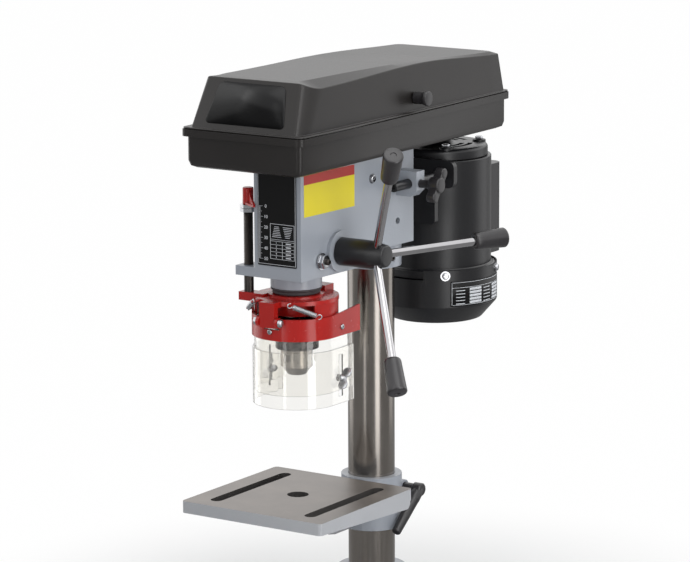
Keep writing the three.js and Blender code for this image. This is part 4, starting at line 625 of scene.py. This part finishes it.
# Scale plate
# A thin printed plate on the front of the head: a depth scale from 0 to 50, and a plain
# diagram of the two stepped pulleys over a table of lines.
# Black anodised aluminium, satin
black_plate = painted("black_anodised_plate", "#121213", "#0c0c0d", 0.3, 0.9, 0.01, gleam=0.16)
# Screen-printed ink: flat pale grey
pale_ink = painted("pale_grey_ink", "#c9ccd0", "#b7babf", 0.55, 0.6, 0.01)
plate = block(-21.8, 21.8, -47, 47, 0, 0.8, corner=0.8)
plate.transform(moved(0, -159.3, 444) @ spun(90, "X"))
finished("scale_plate_face", plate, black_plate, "stand", "plate_black", ["scale_plate"])

ink_back = -160.1
ink_front = -160.25


def ink_bar(x0, x1, z0, z1):
    """A printed bar on the scale plate."""
    return block(x0, x1, ink_front, ink_back, z0, z1)


def mesh_of_curve(curve):
    """A curve or text made a mesh, and taken away."""
    holder = linked(curve.name, curve)
    form = shape_of(holder)
    bpy.data.objects.remove(holder)
    bpy.data.curves.remove(curve)
    return form


def number_print(words, x, z, size):
    """Printed figures, made a mesh that faces -Y."""
    text = bpy.data.curves.new("figures", "FONT")
    text.body = words
    text.size = size * mm
    text.align_x = "CENTER"
    text.align_y = "CENTER"
    text.extrude = 0.07 * mm
    form = mesh_of_curve(text)
    form.transform(moved(x, ink_back - 0.08, z) @ spun(90, "X"))
    return form


# The depth scale, with its zero at the top
zero = 453.4
prints = [ink_bar(-20, -19.7, zero - 50, zero)]
for depth in range(0, 51):
    reach = 4.4 if depth % 10 == 0 else 3.2 if depth % 5 == 0 else 1.8
    prints.append(ink_bar(-20, reach - 20, zero - depth - 0.12, zero - depth + 0.12))
for depth in range(0, 60, 10):
    prints.append(number_print(str(depth), -12.4, zero - depth, 4.4))
# The frame of the plate
for z in (398.6, 489.1):
    prints.append(ink_bar(-20.9, 20.9, z, z + 0.35))
for x in (-21.2, 20.9):
    prints.append(ink_bar(x, x + 0.35, 398.6, 489.4))
# The table of five rows, and the diagram over it
row_pitch = 3.4
for row in range(6):
    prints.append(ink_bar(-7.2, 19.6, 404 + row * row_pitch, 404.3 + row * row_pitch))
prints += [ink_bar(-7.2, 19.6, 422.6, 422.9), ink_bar(-7.2, 19.6, 437.2, 437.6)]
for x, top in [(-7.5, 437.6), (6, 421.3), (19.6, 437.6)]:
    prints.append(ink_bar(x, x + 0.35, 404, top))
for row in range(5):
    prints.append(number_print(str(5 - row), -0.7, 405.9 + row * row_pitch, 2.7))
    prints.append(ink_bar(10.2, 15.8, 405.3 + row * row_pitch, 406.4 + row * row_pitch))
for line in range(7):
    level = 425 + line * 1.6
    prints.append(ink_bar(-5.4 + line * 0.45, 5 - line * 0.45, level, level + 0.45))
    prints.append(ink_bar(9.6 - line * 0.45, 14.8 + line * 0.45, level, level + 0.45))
finished("scale_print", joined(*prints), pale_ink, "stand", "plate_black")

# Switch box
# A moulded black box at the left of the head, with a green and a red push button in a bright
# face frame.
# Moulded ABS: dark and even, with a fine spark-eroded grain
black_abs = painted("black_moulded_abs", "#2e2d30", "#232225", 0.45, 0.7, 0.05)
dressed("switch_housing", "switch_box", black_abs, "stand", "black_plastic", edge=2, segments=3)
frame_plate = block(-21, 21, -23, 23, 0, 0.9, corner=4)
frame_plate = cut(frame_plate, *[placed(rod(8.6, -1, 2, 48), y=offset) for offset in (12, -12)])
frame_plate.transform(moved(-58, -82, 464) @ spun(-90, "Z") @ spun(90, "X"))
# Green moulded plastic, glossy
green_plastic = painted("green_moulded_plastic", "#2b8443", "#24783a", 0.28, 2, 0.02, gleam=0.4)
# Red moulded plastic, glossy
red_plastic = painted("red_moulded_plastic", "#b21c18", "#a01815", 0.3, 2, 0.02, gleam=0.35)
finished("switch_face", frame_plate, zinc_plate, "stand", "black_plastic", edge=0.3)
for name, height, finish, slot in [
    ("start_button", 476, green_plastic, "button_green"),
    ("stop_button", 452, red_plastic, "button_red"),
]:
    button = turned([
        (0, -60), (5.5, -60), (6.2, -60.5), *round_edge(7.2, -59.7, 0.8, -90, 0, 4),
        (8, -50.5), (0, -50.5),
    ], 56)
    finished(f"{name}_cap", placed(button, y=-82, z=height, axis="X"), finish, name, slot, [name])

# Feed
# Three chrome spokes in a black turned hub turn the pinion that lowers the quill. Each spoke
# leans outward and ends in a moulded grip, flat at its end.
# Chrome plate on steel: bright, with faint fingermarks
chrome = worked("chrome_plated_steel", "#b2b1b3", "#9b9a9c", 0.1, (1.0, 1.0, 1.0), pitch=9,
                height=0.0002)
# Turned steel of shafts and the quill: fine rings round the axis
turned_steel = worked("turned_steel", "#b4b2af", "#8d8b88", 0.3, (0.1, 0.1, 1.0), pitch=0.3)
pinion = joined(
    copy_of("pinion_shaft"),
    placed(hexagon(9, -51.2, -46.6), y=feed_y, z=feed_z, axis="X"),
)
finished("pinion", pinion, turned_steel, "feed", "ground_steel", ["pinion_shaft"])
hub = turned([
    (8.3, 32.5), *round_edge(12.7, 33.3, 0.8, -90, 0, 3), (13.5, 66), (13.2, 68.5),
    *round_edge(8.6, 81.8, 2.2, 20, 90, 5), (0, 84),
], 80)
finished("hub", placed(hub, y=feed_y, z=feed_z, axis="X"), black_enamel, "feed", "black_paint",
         ["feed_hub"])
rake = 26.3
spoke_start, grip_start = [reach / math.cos(math.radians(rake)) for reach in (6, 97.5)]
for number in range(3):
    lean = moved(71, feed_y, feed_z) @ spun(120 * number - 88.5, "X") @ spun(rake, "Y")
    spoke = rod(4, spoke_start, grip_start + 11.6, 48)
    spoke.transform(lean)
    finished(f"feed_spoke_{number + 1}", spoke, chrome, "feed", "bright_steel",
             [f"spoke_{number + 1}"])
    grip = turned([(radius, grip_start + along_grip) for radius, along_grip in [
        (4.3, 0), (5.9, 0), (7, 0.5), (7.8, 1.5), (8.3, 3), (8.5, 8), (8.9, 18), (9.3, 27),
        (9.6, 32.8), (9.5, 33.8), (8.8, 34.7), (7.9, 35), (3, 35), (2.5, 34.3), (0, 34.3),
    ]], 64)
    grip.transform(lean)
    finished(f"grip_{number + 1}", grip, phenolic, "feed", "black_plastic",
             [f"feed_grip_{number + 1}"])

# Quill and bump ring
# The ground steel sleeve that carries the spindle bearings, with its rack at the rear, and a
# rubber ring that softens its stop under the head.
# Moulded rubber: dull black with a slight brown cast
moulded_rubber = painted("moulded_rubber", "#3b3538", "#2c282a", 0.62, 1.2, 0.08)
dressed("quill_sleeve", "quill", turned_steel, "quill", "ground_steel", crease=25)
ring = turned([
    (20.3, 367.8), *round_edge(21.7, 369, 1.2, -90, 0, 4), (22.6, 371),
    *round_edge(23.9, 372.3, 0.6, -90, 0, 3), *round_edge(23.7, 372.7, 0.8, 0, 90, 4),
    (20.3, 373.5), (20.3, 367.8),
])
finished("bump_ring", placed(ring, y=spindle_y), moulded_rubber, "quill", "rubber",
         ["quill_bump_ring"])

# Depth stop
# A black rod through the ear of the collar, threaded where its two thin nuts run, with a red
# cap that carries the pointer over the scale.
stop_x = -41
stop_y = -148
thread_low = 394
thread_pitch = 1.25
threads = []
for ridge in range(45):
    foot = thread_low + ridge * thread_pitch
    threads += [(4.15, foot), (4.6, foot + thread_pitch * 0.5)]
depth_rod = turned([
    (0, 359.4), (4.6, 359.4), (4.6, 393), *threads, (4.15, 450.6), (4.15, 451.1),
    (3, 451.1), (3, 461.5), (0, 461.5),
], 36)
finished("depth_rod", placed(depth_rod, x=stop_x, y=stop_y), black_oxide, "quill", "dark_steel",
         ["depth_stop_rod"], crease=60)
for name in ("lower", "upper"):
    dressed(f"stop_nut_{name}", f"depth_nut_{name}", zinc_plate, "depth_nuts", "dark_steel",
            edge=0.5, crease=50)


def lifted(form, height):
    """A flat form made a solid of this height."""
    raised = bmesh.ops.extrude_face_region(form, geom=form.faces[:])
    bmesh.ops.translate(form, verts=new_points(raised), vec=(0, 0, height * mm))
    return cleaned(form)


def outline(points, low, high):
    """A flat shape through (x, y) points in millimetres, raised from one height to another."""
    form = bmesh.new()
    form.faces.new([form.verts.new((x * mm, y * mm, low * mm)) for x, y in points])
    return lifted(form, high - low)


cap = turned([
    (0, 451.4), (5.4, 451.4), (5.2, 458), *round_edge(4, 466.2, 1.2, 0, 90, 4), (0, 467.4),
], 48)
arm = outline([(-1, -4.6), (16.6, -15.2), (17, -13), (4.6, 1)], 451.4, 453.2)
fin = outline([(0, 452), (21, 452), (21, 453.6), (12, 459.5), (5, 465.5), (0, 465.5)], -1.1, 1.1)
fin.transform(Matrix.Rotation(math.atan2(-14, 17), 4, "Z") @ spun(90, "X"))
finished("pointer_cap", placed(joined(cap, arm, fin), x=stop_x, y=stop_y), red_plastic, "quill",
         "guard_red", ["depth_pointer"], edge=0.3, crease=32)

# Spindle and chuck
# A taper on the spindle carries a keyed three-jaw chuck: a ground body with key holes, a
# darker toothed sleeve that drives the jaws, and the jaws themselves.
# Case-hardened chuck steel: grey with a soft polish
chuck_steel = worked("polished_chuck_steel", "#a09b96", "#7f7a75", 0.2, (0.1, 0.1, 1.0), pitch=0.4)
# The sleeve is hardened darker
sleeve_steel = worked("hardened_sleeve_steel", "#484443", "#333030", 0.26, (0.1, 0.1, 1.0),
                      pitch=0.4)
nodes["spindle"].data.materials[0] = turned_steel
chuck = turned([
    (7, 289), (8.5, 289), (9, 289.5), (15, 296.8), (15, 314.9), (17.2, 315.7), (17.2, 346),
    (18.9, 346.3), (19.5, 346.9), (19.5, 350), (15.5, 354), (8.2, 354), (7.6, 331.7),
    (7, 331.7), (7, 289),
], 96)
openings = []
for number in range(3):
    key = placed(rod(3, 11, 16.5, 32), axis="X")
    key.transform(moved(0, 0, 306) @ spun(150 + 120 * number, "Z"))
    openings.append(key)
for number in range(3):
    slot_cut = rod(3.5, -3, 45.5, 32)
    slot_cut.transform(spun(90 + 120 * number, "Z") @ moved(2.2, 0, 288) @ spun(15, "Y"))
    openings.append(slot_cut)
finished("chuck_shell", placed(cut(chuck, *openings), y=spindle_y), chuck_steel, "spindle",
         "ground_steel", ["chuck_body"], edge=0.25, crease=28)
sleeve = turned([
    (17.5, 314.7), (21, 314.7), (21, 319.7), (21, 345), (20, 346), (17.5, 346), (17.5, 314.7),
], 72)


def is_tooth_gap(face):
    """On the lower rim of the sleeve, three of each six faces are sunk between the teeth."""
    middle = face.calc_center_median()
    on_rim = abs(middle.z - 317.2 * mm) < 0.2 * mm and middle.xy.length > 20 * mm
    place = round(math.degrees(math.atan2(middle.y, middle.x)) / 5 + 35.5)
    return on_rim and face.normal.xy.length > 0.9 and place % 6 < 3


gaps = [face for face in sleeve.faces if is_tooth_gap(face)]
for vert in new_points(bmesh.ops.extrude_face_region(sleeve, geom=gaps)):
    vert.co.xy *= 19 / 21
bmesh.ops.delete(sleeve, geom=gaps, context="FACES_ONLY")
finished("chuck_ring", placed(sleeve, y=spindle_y), sleeve_steel, "chuck_sleeve", "ground_steel",
         ["chuck_sleeve"], crease=28)
for number in range(3):
    name = f"chuck_jaw_{number + 1}"
    dressed(f"jaw_{number + 1}", name, chuck_steel, name, "dark_steel", edge=0.3, crease=50)

# Guard collar
# A red die-cast collar clamped on the quill by one screw at the rear. Its disc covers the
# chuck, its left ear drives the depth rod, and its front lug carries the hinge.
# Gloss red enamel: deep red that takes pale reflections on its flat tops
red_enamel = painted("gloss_red_enamel", "#ab1914", "#981510", 0.24, 4, 0.03, gleam=0.4)
dressed("collar_casting", "guard_collar", red_enamel, "quill", "guard_red", edge=0.8, crease=32)
clamp_screw = joined(
    rod(2.4, -20, 20, 24),
    turned([(0, 15.2), (4.2, 15.2), (4.2, 18.4), (3.4, 19.2), (0, 19.2)], 36),
    hexagon(4.2, -18.6, -15.2),
)
fastener("collar_clamp_screw", placed(clamp_screw, y=-93, z=358, axis="X"), "quill")

# Guard band and shields
# A red band bent round the chuck hangs on the hinge bolt and holds the upper clear shield.
# The lower shield slides on it and is locked by two wing screws.
# Clear PVC sheet: faintly warm, almost polished and slightly rippled
clear_pvc, tree, shader = plain_finish(
    "clear_pvc_sheet", Base_Color=linear("#f7f6f3"), IOR=1.42, Transmission_Weight=0.97,
)
place = add(tree, "TexCoord").outputs["Object"]
haze = add(tree, "TexNoise", {"Vector": place, "Scale": 1 / (18 * mm), "Detail": 3.0}).outputs[0]
surfaced(tree, shader, haze, 0.0, 0.05, haze, 0.15, 0.3)
dressed("band", "guard_band", red_enamel, "guard", "guard_red", edge=0.5, crease=32)
dressed("upper_window", "upper_shield", clear_pvc, "guard", "clear_plastic", edge=0.2, segments=1,
        crease=32)
dressed("lower_window", "lower_shield", clear_pvc, "lower_shield", "clear_plastic", edge=0.2,
        segments=1, crease=32)
hinge = joined(
    rod(2, -14, 14, 24),
    turned([
        (0, 12.4), (4.2, 12.4), (4.2, 14.2), *round_edge(1.9, 14.2, 1.6, 0, 90, 4), (0, 15.8),
    ], 36),
    hexagon(4.2, -15.6, -12.5),
    hexagon(4.2, 12.4, 14.4),
)
finished("hinge_bolt", placed(hinge, y=-174.8, z=346.5, axis="X"), zinc_plate, "guard",
         "bright_steel", ["guard_hinge_bolt"], crease=30)
for name, x, y, turn in [
    ("front", -1.1, -171.1, -91.5), ("right", 42.5, -115, 0), ("left", -42.5, -115, 180),
]:
    screw = placed(pan_screw(2.6, 1.6), axis="X")
    screw.transform(moved(x, y, 336.4) @ spun(turn, "Z"))
    fastener(f"band_screw_{name}", screw, "guard")
for name, side in (("left", -1), ("right", 1)):
    disc = [(0, -0.9), (4.2, -0.9), *round_edge(4.2, 0, 0.9, -90, 90, 4), (0, 0.9)]
    wings = [placed(turned(disc, 28), x=46.4, y=offset) for offset in (-6.2, 6.2)]
    shank = joined(
        rod(2, 37.2, 46, 24),
        turned([(0, 42.3), (3.8, 42.3), (3.8, 44.6), (2.6, 47.3), (0, 47.3)], 36),
        hexagon(3.8, 36.7, 38.6),
    )
    screw = joined(placed(shank, axis="X"), *wings)
    screw.transform(Matrix.Diagonal((side, 1, 1, 1)) @ moved(0, -116, 287) @ spun(55, "X"))
    finished(f"wing_{name}", screw, zinc_plate, f"wing_screw_{name}", "bright_steel",
             [f"wing_screw_{name}"], crease=40)


# Guard springs
# Two small tension springs hook over pins of the collar and the band, one on each side. They
# hold the guard up or down, and bend with it.
def wire(points, radius):
    """A round wire through points in millimetres."""
    path = bpy.data.curves.new("wire", "CURVE")
    path.dimensions = "3D"
    path.bevel_depth = radius * mm
    path.bevel_resolution = 2
    path.use_fill_caps = True
    run = path.splines.new("POLY")
    run.points.add(len(points) - 1)
    for spot, point in zip(run.points, points):
        spot.co = (*(point * mm), 1)
    return mesh_of_curve(path)


def on_guard(radius, angle, height):
    """A point about the spindle, from its radius, angle and height."""
    x, y = polar(radius, angle)
    return Vector((x, y + spindle_y, height))


hook_radius = 2.2
coil_radius = 2.2
curls = 20
upper_pin = on_guard(46, -63.2, 363.3)
lower_pin = on_guard(45.8, -27.7, 351.5)
forward = (lower_pin - upper_pin).normalized()
outward = Vector((*polar(1, -45.45), 0))
sideways = forward.cross(outward).normalized()
outward = sideways.cross(forward).normalized()
length = (lower_pin - upper_pin).length
lead = hook_radius + 1.2


def hook_about(pin, heading, start):
    """Three quarters of a round hook about a pin, from a start in degrees."""
    turns = [math.radians(start + step / 18 * 270) for step in range(19)]
    return [
        pin - heading * hook_radius * math.cos(turn) + sideways * hook_radius * math.sin(turn)
        for turn in turns
    ]


coil_path = hook_about(upper_pin, forward, -90)
for step in range(curls * 16 + 1):
    turn = step / 16 * math.tau
    reach = lead + step / (curls * 16) * (length - 2 * lead)
    coil_path.append(
        upper_pin + forward * reach - sideways * coil_radius * math.sin(turn)
        + outward * coil_radius * math.cos(turn)
    )
coil_path += hook_about(lower_pin, -forward, 180)
for name, side in (("left", -1), ("right", 1)):
    coil = wire([Vector((side * point.x, point.y, point.z)) for point in coil_path], 0.5)
    spring = finished(f"tension_spring_{name}", coil, zinc_plate, None, "bright_steel",
                      [f"guard_spring_{name}"], crease=60)
    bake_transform(spring)


# Motor plate and slide bars
# A T-shaped steel plate rides on two black bars that slide in the head, so that the belt can
# be slackened. A knob at each side locks its bar.
motor_face = 62.7
bar_x = 48
bar_z = 458.4


def plate_facing(form):
    """A flat shape drawn in X and Z, stood up with its back on the face of the motor."""
    form.transform(moved(0, motor_face, 0) @ spun(90, "X"))
    return form


web_plate = cut(
    plate_facing(block(-60, 60, 445, 472, 0, 6, corner=7)),
    plate_facing(block(-38, 38, 407.5, 472, 0, 6, corner=4)),
    operation="UNION",
)
finished("motor_mount", web_plate, black_enamel, "motor", "dark_steel", ["motor_plate"], edge=0.8)
for name, side in (("left", -1), ("right", 1)):
    bar = turned([
        (0, -31), (2.6, -31), (2.6, -34), (4.15, -34), (4.75, -33.4), (4.75, 67.4),
        (4.15, 68), (0, 68),
    ], 48)
    finished(f"guide_bar_{name}", placed(bar, x=side * bar_x, z=bar_z, axis="Y"), black_enamel,
             "motor", "dark_steel", [f"slide_bar_{name}"])
    nut = placed(hex_bolt(8, 0, 6, washer=9.5), x=side * bar_x, y=motor_face, z=bar_z, axis="Y")
    lobe = [
        (0, 72), *round_edge(3.8, 73.2, 1.2, -90, 0, 3), *round_edge(3.8, 79.8, 1.2, 0, 90, 3), (0, 81),
    ]
    lobes = [placed(turned(lobe, 40), y=offset, axis="X") for offset in (-13.2, 13.2)]
    web = block(72.4, 80.6, -13.2, 13.2, -4.6, 4.6)
    middle = turned([
        (0, 70), *round_edge(6.4, 71.2, 1.2, -90, 0, 3), *round_edge(6, 80.4, 1.6, 0, 90, 4), (0, 82),
    ], 48)
    knob = cut(placed(middle, axis="X"), web, *lobes, operation="UNION")
    knob = joined(knob, placed(rod(4, 53.1, 70.5, 32), axis="X"))
    knob.transform(Matrix.Diagonal((side, 1, 1, 1)) @ moved(0, -1, bar_z) @ spun(54, "X"))
    finished(f"lock_knob_{name}", knob, phenolic, f"tension_knob_{name}", "black_plastic",
             [f"tension_knob_{name}"], crease=40)
    fastener(f"bar_nut_{name}", nut, "motor")

# Motor
# An induction motor hangs upright at the rear: a rolled steel shell, an end bell with vents and
# four through bolts, a pressed fan cover below and a capacitor cover behind.
shell = turned([
    (7.3, 350), *round_edge(59.1, 350.6, 0.6, -90, 0, 2), (59.7, 357.4), (59, 358), (56.5, 358.4),
    (55.5, 359.4), (55.5, 465.9), (54.9, 466.7), (30, 466.7), (30, 358), (7.3, 358), (7.3, 350),
], 112)
foot = block(-28, 28, 63.0, 72, 410, 450)
finished("motor_shell", joined(placed(shell, y=motor_y), foot), black_enamel, "motor",
         "black_paint", ["motor_housing"])
bell = turned([
    (7.3, 475), (49, 475), (49, 467), (51.4, 467), (52, 467.6), (52, 474),
    *round_edge(48, 474, 4, 0, 90, 6), (20, 478), (17.5, 479), (16, 481), (16, 484), (15, 485),
    (7.3, 485), (7.3, 475),
], 112)
vents = []
for quarter in range(4):
    for inner, outer, half_angle in [(24, 29, 24), (32, 37, 28)]:
        vent = lifted(turned([(inner, 473), (outer, 473)], 12, half_angle * 2), 8)
        vent.transform(spun(90 * quarter + 90 - half_angle, "Z"))
        vents.append(vent)
finished("end_bell", placed(cut(bell, *vents), y=motor_y), black_enamel, "motor", "black_paint",
         ["motor_bell"], crease=30)
for quarter in range(4):
    x, y = polar(44.5, 45 + 90 * quarter)
    boss = turned([(0, 472), (6.6, 472), *round_edge(5.6, 479, 1, 0, 90, 3), (0, 480)], 36)
    finished(f"bell_boss_{quarter + 1}", placed(boss, x, y + motor_y), black_enamel, "motor",
             "black_paint")
    fastener(f"bell_bolt_{quarter + 1}", placed(hex_bolt(4, 480, 3), x, y + motor_y), "motor")

cover = turned([
    (0, 303), *round_edge(45, 306, 3, -90, -35, 4), *round_edge(58.5, 321.5, 3, -35, 0, 3),
    (61.5, 358.6), (60, 358.6), (60, 321.2), (46.7, 304.5), (0, 304.5),
], 112)
notch = block(-21.5, 21.5, -62.5, -30, 349.1, 359.6)
slots = []
for number in range(24):
    for low, high in ([(14, 26), (29, 42)] if number % 2 == 0 else [(29, 42)]):
        slot_cut = block(low, high, -1.6, 1.6, 302, 305.5, corner=1.5)
        slot_cut.transform(spun(15 * number, "Z"))
        slots.append(slot_cut)
cover = cut(cover, notch, joined(*slots))
finished("fan_shroud", placed(cover, y=motor_y), black_enamel, "motor", "black_paint",
         ["fan_cover"], crease=30)
for number, angle in enumerate((-49, 20, 131, 200)):
    screw = placed(pan_screw(3.4, 2, washer=4.9), axis="X")
    screw.transform(moved(0, motor_y, 353.6) @ spun(angle, "Z") @ moved(61.4, 0, 0))
    fastener(f"shroud_screw_{number + 1}", screw, "motor")
dressed("capacitor_box", "capacitor_cover", black_enamel, "motor", "black_paint", edge=2.5,
        segments=3, crease=32)


def bowed_plate(radius, low, high, first, last):
    """A thin plate bowed round the motor, between two angles in degrees."""
    form = turned([(radius, low), (radius, high)], 28, last - first)
    form.transform(moved(0, motor_y, 0) @ spun(first, "Z"))
    return form


# Rating plate of the motor
# A black plate bowed round the fan cover, left blank but for a plain grid of bars.
rating = finished("rating_plate", bowed_plate(61.9, 322.5, 347.5, -44, 24), black_plate, "motor",
                  "plate_black")
thickened(rating, "sheet", 0.5)
grid = [bowed_plate(62.25, low, low + 0.4, -43, 23) for low in (323.6, 341, 346.2)]
grid += [bowed_plate(62.25, 323.6, 346.6, angle, angle + 0.4) for angle in (-43, 22.6)]
for row in range(5):
    low = 324.6 + row * 3.3
    for first, last in ((-39, -30), (-25, -11), (-8, 2), (6, 20)):
        grid.append(bowed_plate(62.25, low, low + (2.5 if last - first > 12 else 0.8), first, last))
rating_grid = finished("rating_grid", joined(*grid), pale_ink, "motor", "plate_black")
thickened(rating_grid, "ink", 0.12)

nodes["motor_rotor"].data.materials[0] = turned_steel

# Pulleys and belt
# Two stepped die-cast pulleys, turned in their grooves, and a rubber V belt in the middle
# grooves.
# Die-cast aluminium: pale, satin, with turned grooves
cast_aluminium = worked("turned_cast_aluminium", "#c4c6c9", "#a6a8ab", 0.34, (0.1, 0.1, 1.0),
                        pitch=0.4)
step_height = 11
pulley_bottom = 499


def stepped_pulley(steps, bore):
    """A V pulley from its step radii, lowest first."""
    profile = [(bore, pulley_bottom)]
    for number, radius in enumerate(steps):
        low = pulley_bottom + number * step_height
        profile += [
            (radius - 0.5, low), (radius, low + 0.5), (radius, low + 1.2), (radius - 7, low + 3.7),
            (radius - 7, low + 7.3), (radius, low + 9.8), (radius, low + 10.5),
            (radius - 0.5, low + step_height),
        ]
    return profile + [(bore, pulley_bottom + len(steps) * step_height)]


front_profile = stepped_pulley([31, 27, 23, 21, 19], 8.3)
front_pulley = turned([(8.3, 473), (15, 473), (15, pulley_bottom), *front_profile[1:], (8.3, 473)])
finished("front_pulley", placed(front_pulley, y=spindle_y), cast_aluminium, "spindle_pulley",
         "pulley_aluminium", ["spindle_pulley"], crease=25)
rear_profile = stepped_pulley([15, 19, 23, 25, 27], 7.3)
rear_pulley = turned([*rear_profile, rear_profile[0]])
finished("rear_pulley", placed(rear_pulley, y=motor_y), cast_aluminium, "rotor", "pulley_aluminium",
         ["motor_pulley"], crease=25)
belt = turned([(22.6, -3.9), (22.6, 3.9), (17.2, 1.6), (17.2, -1.6), (22.6, -3.9)], 64)
belt.transform(Matrix.Rotation(math.tau / 128, 4, "Z"))
for vert in belt.verts:
    vert.co.y += (motor_y if vert.co.y > 0 else spindle_y) * mm
finished("drive_belt", placed(belt, z=526.5), moulded_rubber, "stand", "rubber", ["v_belt"],
         edge=0.5)

# Belt case
# A pressed steel tray on the head with a rolled rim. The lid closes on the rim, on two hinges
# at the left.
# Dark grey-brown powder coat: satin with a fine texture
case_coat = painted("dark_grey_powder_coat", "#211e1d", "#191716", 0.36, 1.1, 0.05, gleam=0.32)
dressed("belt_tray", "pulley_case", case_coat, "stand", "case_paint", edge=0.8, crease=32)

# Lid
# A pressed lid with a sloping front, a soft shoulder along each side and a knob at the right
# that opens it.
seat = 530
lip = 531.4
crest = 577.4
foot_front = -213.6
crest_front = -194.6


def along_y(places, y):
    """A value that runs straight between places along Y."""
    if y <= places[0][0]:
        return places[0][1]
    for (y0, value0), (y1, value1) in zip(places, places[1:]):
        if y <= y1:
            return value0 + (value1 - value0) * (y - y0) / (y1 - y0)
    return places[-1][1]


def eased_y(places, y):
    """The same, with the corners of the line rounded over 60 mm to each side."""
    return sum(along_y(places, y + step * 15) for step in range(-4, 5)) / 9


case_half = [(-218.6, 68), (-150, 70.5), (158, 64.4)]
shoulder_line = [
    (-185.8, 570.2), (-91.8, 572.6), (-10.9, 577.2), (47.4, 575), (113.8, 568.2), (158, 567.3),
]
crown_line = [(-218.6, 578.4), (0, 577.7), (94.8, 572.8), (158, 570.2)]
crown_half = [(-218.6, 47.1), (-131.2, 44.6), (0, 53.3), (94.8, 55.8), (158, 55.8)]
lid_form = bmesh.new()


def lid_ring(front, rear, half_at, corner, tail, height_at):
    """A closed ring of the lid: a flat front, long front corners, straight sides, a round rear."""
    start = front + corner[1]
    stop = rear - tail
    edge = []
    for step in range(13):
        turn = math.radians(90 * step / 12)
        x = half_at(start) - corner[0] * (1 - math.sin(turn))
        edge.append((x, front + corner[1] * (1 - math.cos(turn)), step / 12))
    for step in range(1, 16):
        y = start + (stop - start) * step / 16
        edge.append((half_at(y), y, 1))
    for step in range(7):
        turn = math.radians(90 * step / 6)
        x = half_at(stop) - tail * (1 - math.cos(turn))
        edge.append((x, rear - tail * (1 - math.sin(turn)), 1))
    edge = [(x, y, height_at(y, turned_share)) for x, y, turned_share in edge]
    edge += [(-x, y, z) for x, y, z in reversed(edge)]
    ring = [lid_form.verts.new((x * mm, y * mm, z * mm)) for x, y, z in edge]
    return ring, [lid_form.edges.new(pair) for pair in zip(ring, ring[1:] + ring[:1])]


def shoulder_height(y, turned_share):
    """The front edge is as high as the crown, and falls to the shoulder round the corner."""
    eased = turned_share * turned_share * (3 - 2 * turned_share)
    return crest * (1 - eased) + eased_y(shoulder_line, y) * eased


def lip_height(y, turned_share):
    """The lip and the foot of the lid are flat."""
    return lip


def crown_height(y, turned_share):
    """The crown falls to the rear."""
    return eased_y(crown_line, y)


# From below: the lip, the foot, the shoulder and the edge of the crown
rings = [
    lid_ring(-217.6, 157, lambda y: along_y(case_half, y) - 1, (6.5, 6.5), 7, lip_height),
    lid_ring(foot_front, 152.5, lambda y: 62, (5, 22), 8, lip_height),
    lid_ring(crest_front, 146.5, lambda y: 59, (9, 27), 8, shoulder_height),
    lid_ring(-187.6, 136, lambda y: eased_y(crown_half, y), (4, 14), 8, crown_height),
]
for (_, lower), (_, upper) in zip(rings, rings[1:]):
    bmesh.ops.bridge_loops(lid_form, edges=lower + upper)
top_ring = rings[-1][0]
count = len(top_ring) // 2
for step in range(count - 1):
    lid_form.faces.new((top_ring[step], top_ring[step + 1], top_ring[-2 - step], top_ring[-1 - step]))
bmesh.ops.recalc_face_normals(lid_form, faces=lid_form.faces)
if max(lid_form.faces, key=lambda face: face.calc_center_median().z).normal.z < 0:
    bmesh.ops.reverse_faces(lid_form, faces=lid_form.faces)
lid = finished("belt_lid", lid_form, case_coat, "lid", "case_paint", ["lid"], edge=2.4, segments=3,
               crease=16)
thickened(lid, "pressed_sheet", 1.4, offset=-1)
hinge_leaves = []
for y in (-110, 70):
    knuckle = turned([(1.4, -5.7), (2.6, -5.7), (2.6, 5.7), (1.4, 5.7), (1.4, -5.7)], 32)
    hinge_leaves.append(placed(knuckle, x=-74.5, y=y, z=529.85, axis="Y"))
    hinge_leaves.append(block(-73.2, -66, y - 5.7, y + 5.7, seat, seat + 1.3))
finished("lid_hinges", joined(*hinge_leaves), case_coat, "lid", "case_paint")
lid_knob = turned([
    (0, 52.3), (3, 52.3), (3, 62.3), (5.2, 62.3), (6, 63), (5.8, 70), (6, 73.2), (7, 74.6),
    *round_edge(6.2, 77, 0.8, 0, 90, 3), (0, 77.8),
], 56)
finished("lid_pull", placed(lid_knob, y=-16.7, z=544, axis="X"), phenolic, "lid_knob",
         "black_plastic", ["lid_knob"])

# Front plate of the lid
# A plain black decal with round corners on the sloping front, left blank.
slope = math.atan2(crest - lip, crest_front - foot_front)
blank = bmesh.new()
corners = [blank.verts.new((x * mm, climb * mm, 0)) for x, climb in [
    (-44.6, 5.6), (44.6, 5.6), (37, 46), (-36, 46),
]]
blank.faces.new(corners)
bevelled(blank, corners, 5, 5, affect="VERTICES")
blank.transform(moved(0, foot_front, lip) @ Matrix.Rotation(slope, 4, "X") @ moved(0, 0, 0.25))
front_plate = finished("lid_front_plate", blank, black_plate, "lid", "plate_black")
thickened(front_plate, "foil", 0.4)
